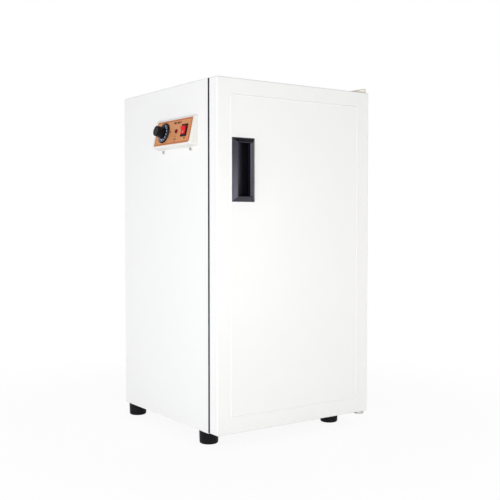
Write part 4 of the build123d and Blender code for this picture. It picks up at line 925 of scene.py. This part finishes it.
def paint_metal():
    """The painted, stainless and plated nodes."""
    white_coat = powder_coat("white_powder_coat", shade(0.885, 0.885, 0.88))
    grey_coat = powder_coat("grey_powder_coat", shade(0.72, 0.73, 0.73), roughness=0.45)
    across = brushed("stainless_across", shade(0.66, 0.66, 0.65), along=(0, 1, 0))
    upright = brushed("stainless_upright", shade(0.64, 0.64, 0.63), roughness=0.28, along=(0, 0, 1))
    zinc = plated("bright_zinc", shade(0.58, 0.58, 0.57), roughness=0.3)
    chrome = plated("chrome_wire", shade(0.80, 0.80, 0.80), roughness=0.08)
    copper = plated("copper", shade(0.72, 0.40, 0.26), roughness=0.3)
    brass = plated("brass", shade(0.72, 0.56, 0.30), roughness=0.25)
    aluminium = brushed("aluminium_case", shade(0.62, 0.62, 0.62), roughness=0.36)
    dress(white_coat, "outer_wrap", "door_skin")
    dress(grey_coat, "back_panel", "base_pan")
    dress(across, "inner_liner", "heater_guard")
    dress(upright, "pilaster_left_front", "pilaster_left_rear")
    dress(upright, "pilaster_right_front", "pilaster_right_rear")
    dress(zinc, "back_screws", "hinge_screws", "housing_screws", "foot_screws", "foot_nuts", "inlet_screws")
    dress(zinc, "door_liner_screws", "pilaster_screws", "thermostat_nut", "shelf_clips", "bulb_clips")
    dress(zinc, "top_hinge_plate", "bottom_hinge_plate", "top_hinge_pin", "bottom_hinge_pin")
    dress(zinc, "hinge_anchors", "heater_supports", "thermostat_shaft")
    dress(chrome, "shelf_lower", "shelf_middle", "shelf_upper")
    dress(copper, "thermostat_bulb")
    dress(brass, "inlet_pins", "heater_glands")
    dress(aluminium, "thermostat_body", "thermal_cutout")
    dress(hot_sheath("heater_sheath"), "heater_element")


def paint_soft():
    """The moulded, rubber, foam and woven nodes."""
    housing = moulded("warm_white_moulding", shade(0.80, 0.79, 0.755), roughness=0.38, tone=0.97)
    inner_white = moulded("inner_white_moulding", shade(0.80, 0.80, 0.78), roughness=0.3, tone=0.97)
    beige = moulded("beige_moulding", shade(0.87, 0.82, 0.735), roughness=0.42, tone=0.95)
    acetal = moulded("natural_acetal", shade(0.78, 0.78, 0.74), roughness=0.4)
    gloss = moulded(
        "glossy_black", shade(0.030, 0.029, 0.038), roughness=0.3, grain=900.0, depth=0.00002, coat=0.25
    )
    switch_black = moulded("switch_black", shade(0.005, 0.005, 0.006), roughness=0.45, level=0.1)
    knob_black = moulded(
        "knob_black", shade(0.005, 0.0042, 0.0065), roughness=0.42, grain=1400.0, level=0.14
    )
    lamp_black = moulded("lamp_black", shade(0.02, 0.02, 0.02), roughness=0.4)
    rocker_red = moulded("rocker_red", shade(0.72, 0.010, 0.018), grain=900.0, depth=0.00002, level=0.12)
    magnet_strip = rubber("magnet_strip", shade(0.05, 0.045, 0.04), roughness=0.7)
    foot_rubber = rubber("foot_rubber", shade(0.003, 0.0025, 0.005), roughness=0.5, dust=0.007, level=0.12)
    dress(housing, "control_housing")
    dress(inner_white, "throat_frame", "door_liner")
    dress(beige, "top_hinge_cover")
    dress(acetal, "door_top_bush", "door_bottom_bush")
    dress(gloss, "handle_cup")
    dress(switch_black, "switch_body", "mains_inlet")
    dress(knob_black, "control_knob")
    dress(lamp_black, "pilot_lamp_body")
    dress(rocker_red, "switch_rocker")
    dress(magnet_strip, "gasket_magnets")
    dress(foot_rubber, "foot_front_left", "foot_front_right", "foot_rear_left", "foot_rear_right")
    dress(lens_red("lamp_lens"), "pilot_lamp_lens")
    dress(plate_print("plate_print"), "control_faceplate")
    dress(foam_fill("rigid_foam"), "insulation", "door_foam")
    dress(braid("braided_sleeve"), "wiring_loom")


def add_pieces():
    """The screws, the pull, the seal and the prints, each in its finish."""
    violet_glint = shade(0.85, 0.81, 1.0)
    pull_black = moulded(
        "pull_black",
        shade(0.008, 0.0072, 0.0125),
        roughness=0.26,
        grain=900.0,
        depth=0.00001,
        level=0.66,
        glint=violet_glint,
    )
    dark_ink = moulded("dark_ink", shade(0.085, 0.004, 0.010), roughness=0.5, level=0.05)
    amber_ink = moulded("amber_ink", shade(0.90, 0.38, 0.01), roughness=0.5, level=0.2)
    drive_screws(plated("screw_zinc", shade(0.42, 0.41, 0.41), roughness=0.28))
    mould_pull(pull_black)
    extrude_seal(rubber("grey_seal", shade(0.020, 0.019, 0.022), roughness=0.55))
    print_dial(moulded("scale_ink", shade(0.60, 0.71, 0.94), roughness=0.5, tone=0.96))
    print_plate(dark_ink, amber_ink)
    print_rocker(moulded("rocker_ink", shade(0.80, 0.62, 0.60), roughness=0.5))


# Camera, floor and light

def set_camera():
    """The camera at the viewing angle of the photograph."""
    data = bpy.data.cameras.new("camera")
    data.lens = camera_lens
    data.sensor_width = sensor_width
    data.sensor_fit = "HORIZONTAL"
    camera = bpy.data.objects.new("camera", data)
    bpy.context.scene.collection.objects.link(camera)
    camera.location = body_corner + camera_offset
    camera.rotation_euler = (math.pi / 2 - camera_drop, 0, -camera_turn)
    bpy.context.scene.camera = camera


def ray_kinds(finish):
    """1 or 0 for rays straight from the camera, and for rays that come by a mirror or through glass."""
    path = finish.node("ShaderNodeLightPath")
    names = ("Is Camera Ray", "Is Glossy Ray", "Is Transmission Ray")
    camera, glossy, through = (Amount(finish, path.outputs[name]) for name in names)
    return camera, (glossy + through).least(1.0) * (1.0 - camera)


def lay_floor():
    """A white floor that keeps the cabinet's shadow."""
    mesh = bpy.data.meshes.new("floor")
    corners = [(x * floor_half, y * floor_half, 0) for x, y in ((-1, -1), (1, -1), (1, 1), (-1, 1))]
    mesh.from_pydata(corners, [], [(0, 1, 2, 3)])
    floor = bpy.data.objects.new("floor", mesh)
    bpy.context.scene.collection.objects.link(floor)
    finish = Finish("floor_white")
    tone = shade(floor_tone, floor_tone, floor_tone)
    paint = finish.node("ShaderNodeBsdfDiffuse", None, {"Color": tone}).outputs[0]
    glow = finish.node("ShaderNodeEmission", None, {"Color": white, "Strength": 1.0}).outputs[0]
    x, y = finish.parts(finish.place())[:2]
    away = (x * x + y * y).root()
    far = ((away - floor_shadow_reach) / (floor_white_reach - floor_shadow_reach)).clipped()
    camera, mirrored = ray_kinds(finish)
    share = (camera + mirrored) * (floor_share + far * (1 - floor_share))
    mixed = finish.node("ShaderNodeMixShader", None, {0: share, 1: paint, 2: glow}).outputs[0]
    finish.node("ShaderNodeOutputMaterial", None, {"Surface": mixed})
    mesh.materials.append(finish.owner)


def light_world():
    """White light from all round, with more from behind on the right.

    Mirrors see it dimmer above and far on the right.
    """
    world = bpy.data.worlds.new("studio")
    bpy.context.scene.world = world
    finish = Finish("studio", world)
    x, y, z = finish.parts(finish.node("ShaderNodeTexCoord").outputs["Generated"])
    overhead = ((z - overhead_from) / overhead_reach).clipped()
    right = ((x - right_from) / right_reach).clipped()
    behind = (x * world_fill_slope).clipped() * (y * world_fill_slope).clipped()
    camera, mirrored = ray_kinds(finish)
    plain = 1.0 - (camera + mirrored)
    soft = world_light - overhead * overhead_light_loss + behind * world_fill
    sheen = 1.0 - (overhead * overhead_mirror_loss).most(right * right_mirror_loss)
    light = camera + mirrored * sheen + plain * soft
    ground = finish.node("ShaderNodeBackground", None, {"Color": white, "Strength": light}).outputs[0]
    finish.node("ShaderNodeOutputWorld", None, {"Surface": ground})


def hang_lamp(name, place, target, size, power, tint):
    """A soft lamp, a width and a height across, that looks at a point."""
    data = bpy.data.lights.new(name, "AREA")
    data.shape = "RECTANGLE"
    data.size, data.size_y = size
    data.energy = power
    data.color = tint
    lamp = bpy.data.objects.new(name, data)
    bpy.context.scene.collection.objects.link(lamp)
    lamp.location = place
    lamp.rotation_euler = (Vector(target) - Vector(place)).to_track_quat("-Z", "Y").to_euler()


def light_studio():
    """Two long low soft lamps, a cooler one for the side and a warmer one for the door."""
    for name, lamp in lamps.items():
        hang_lamp(name, **lamp)


set_camera()
lay_floor()
light_world()
light_studio()
paint_metal()
paint_soft()
add_pieces()

scene = bpy.context.scene
scene.view_settings.view_transform = "Standard"
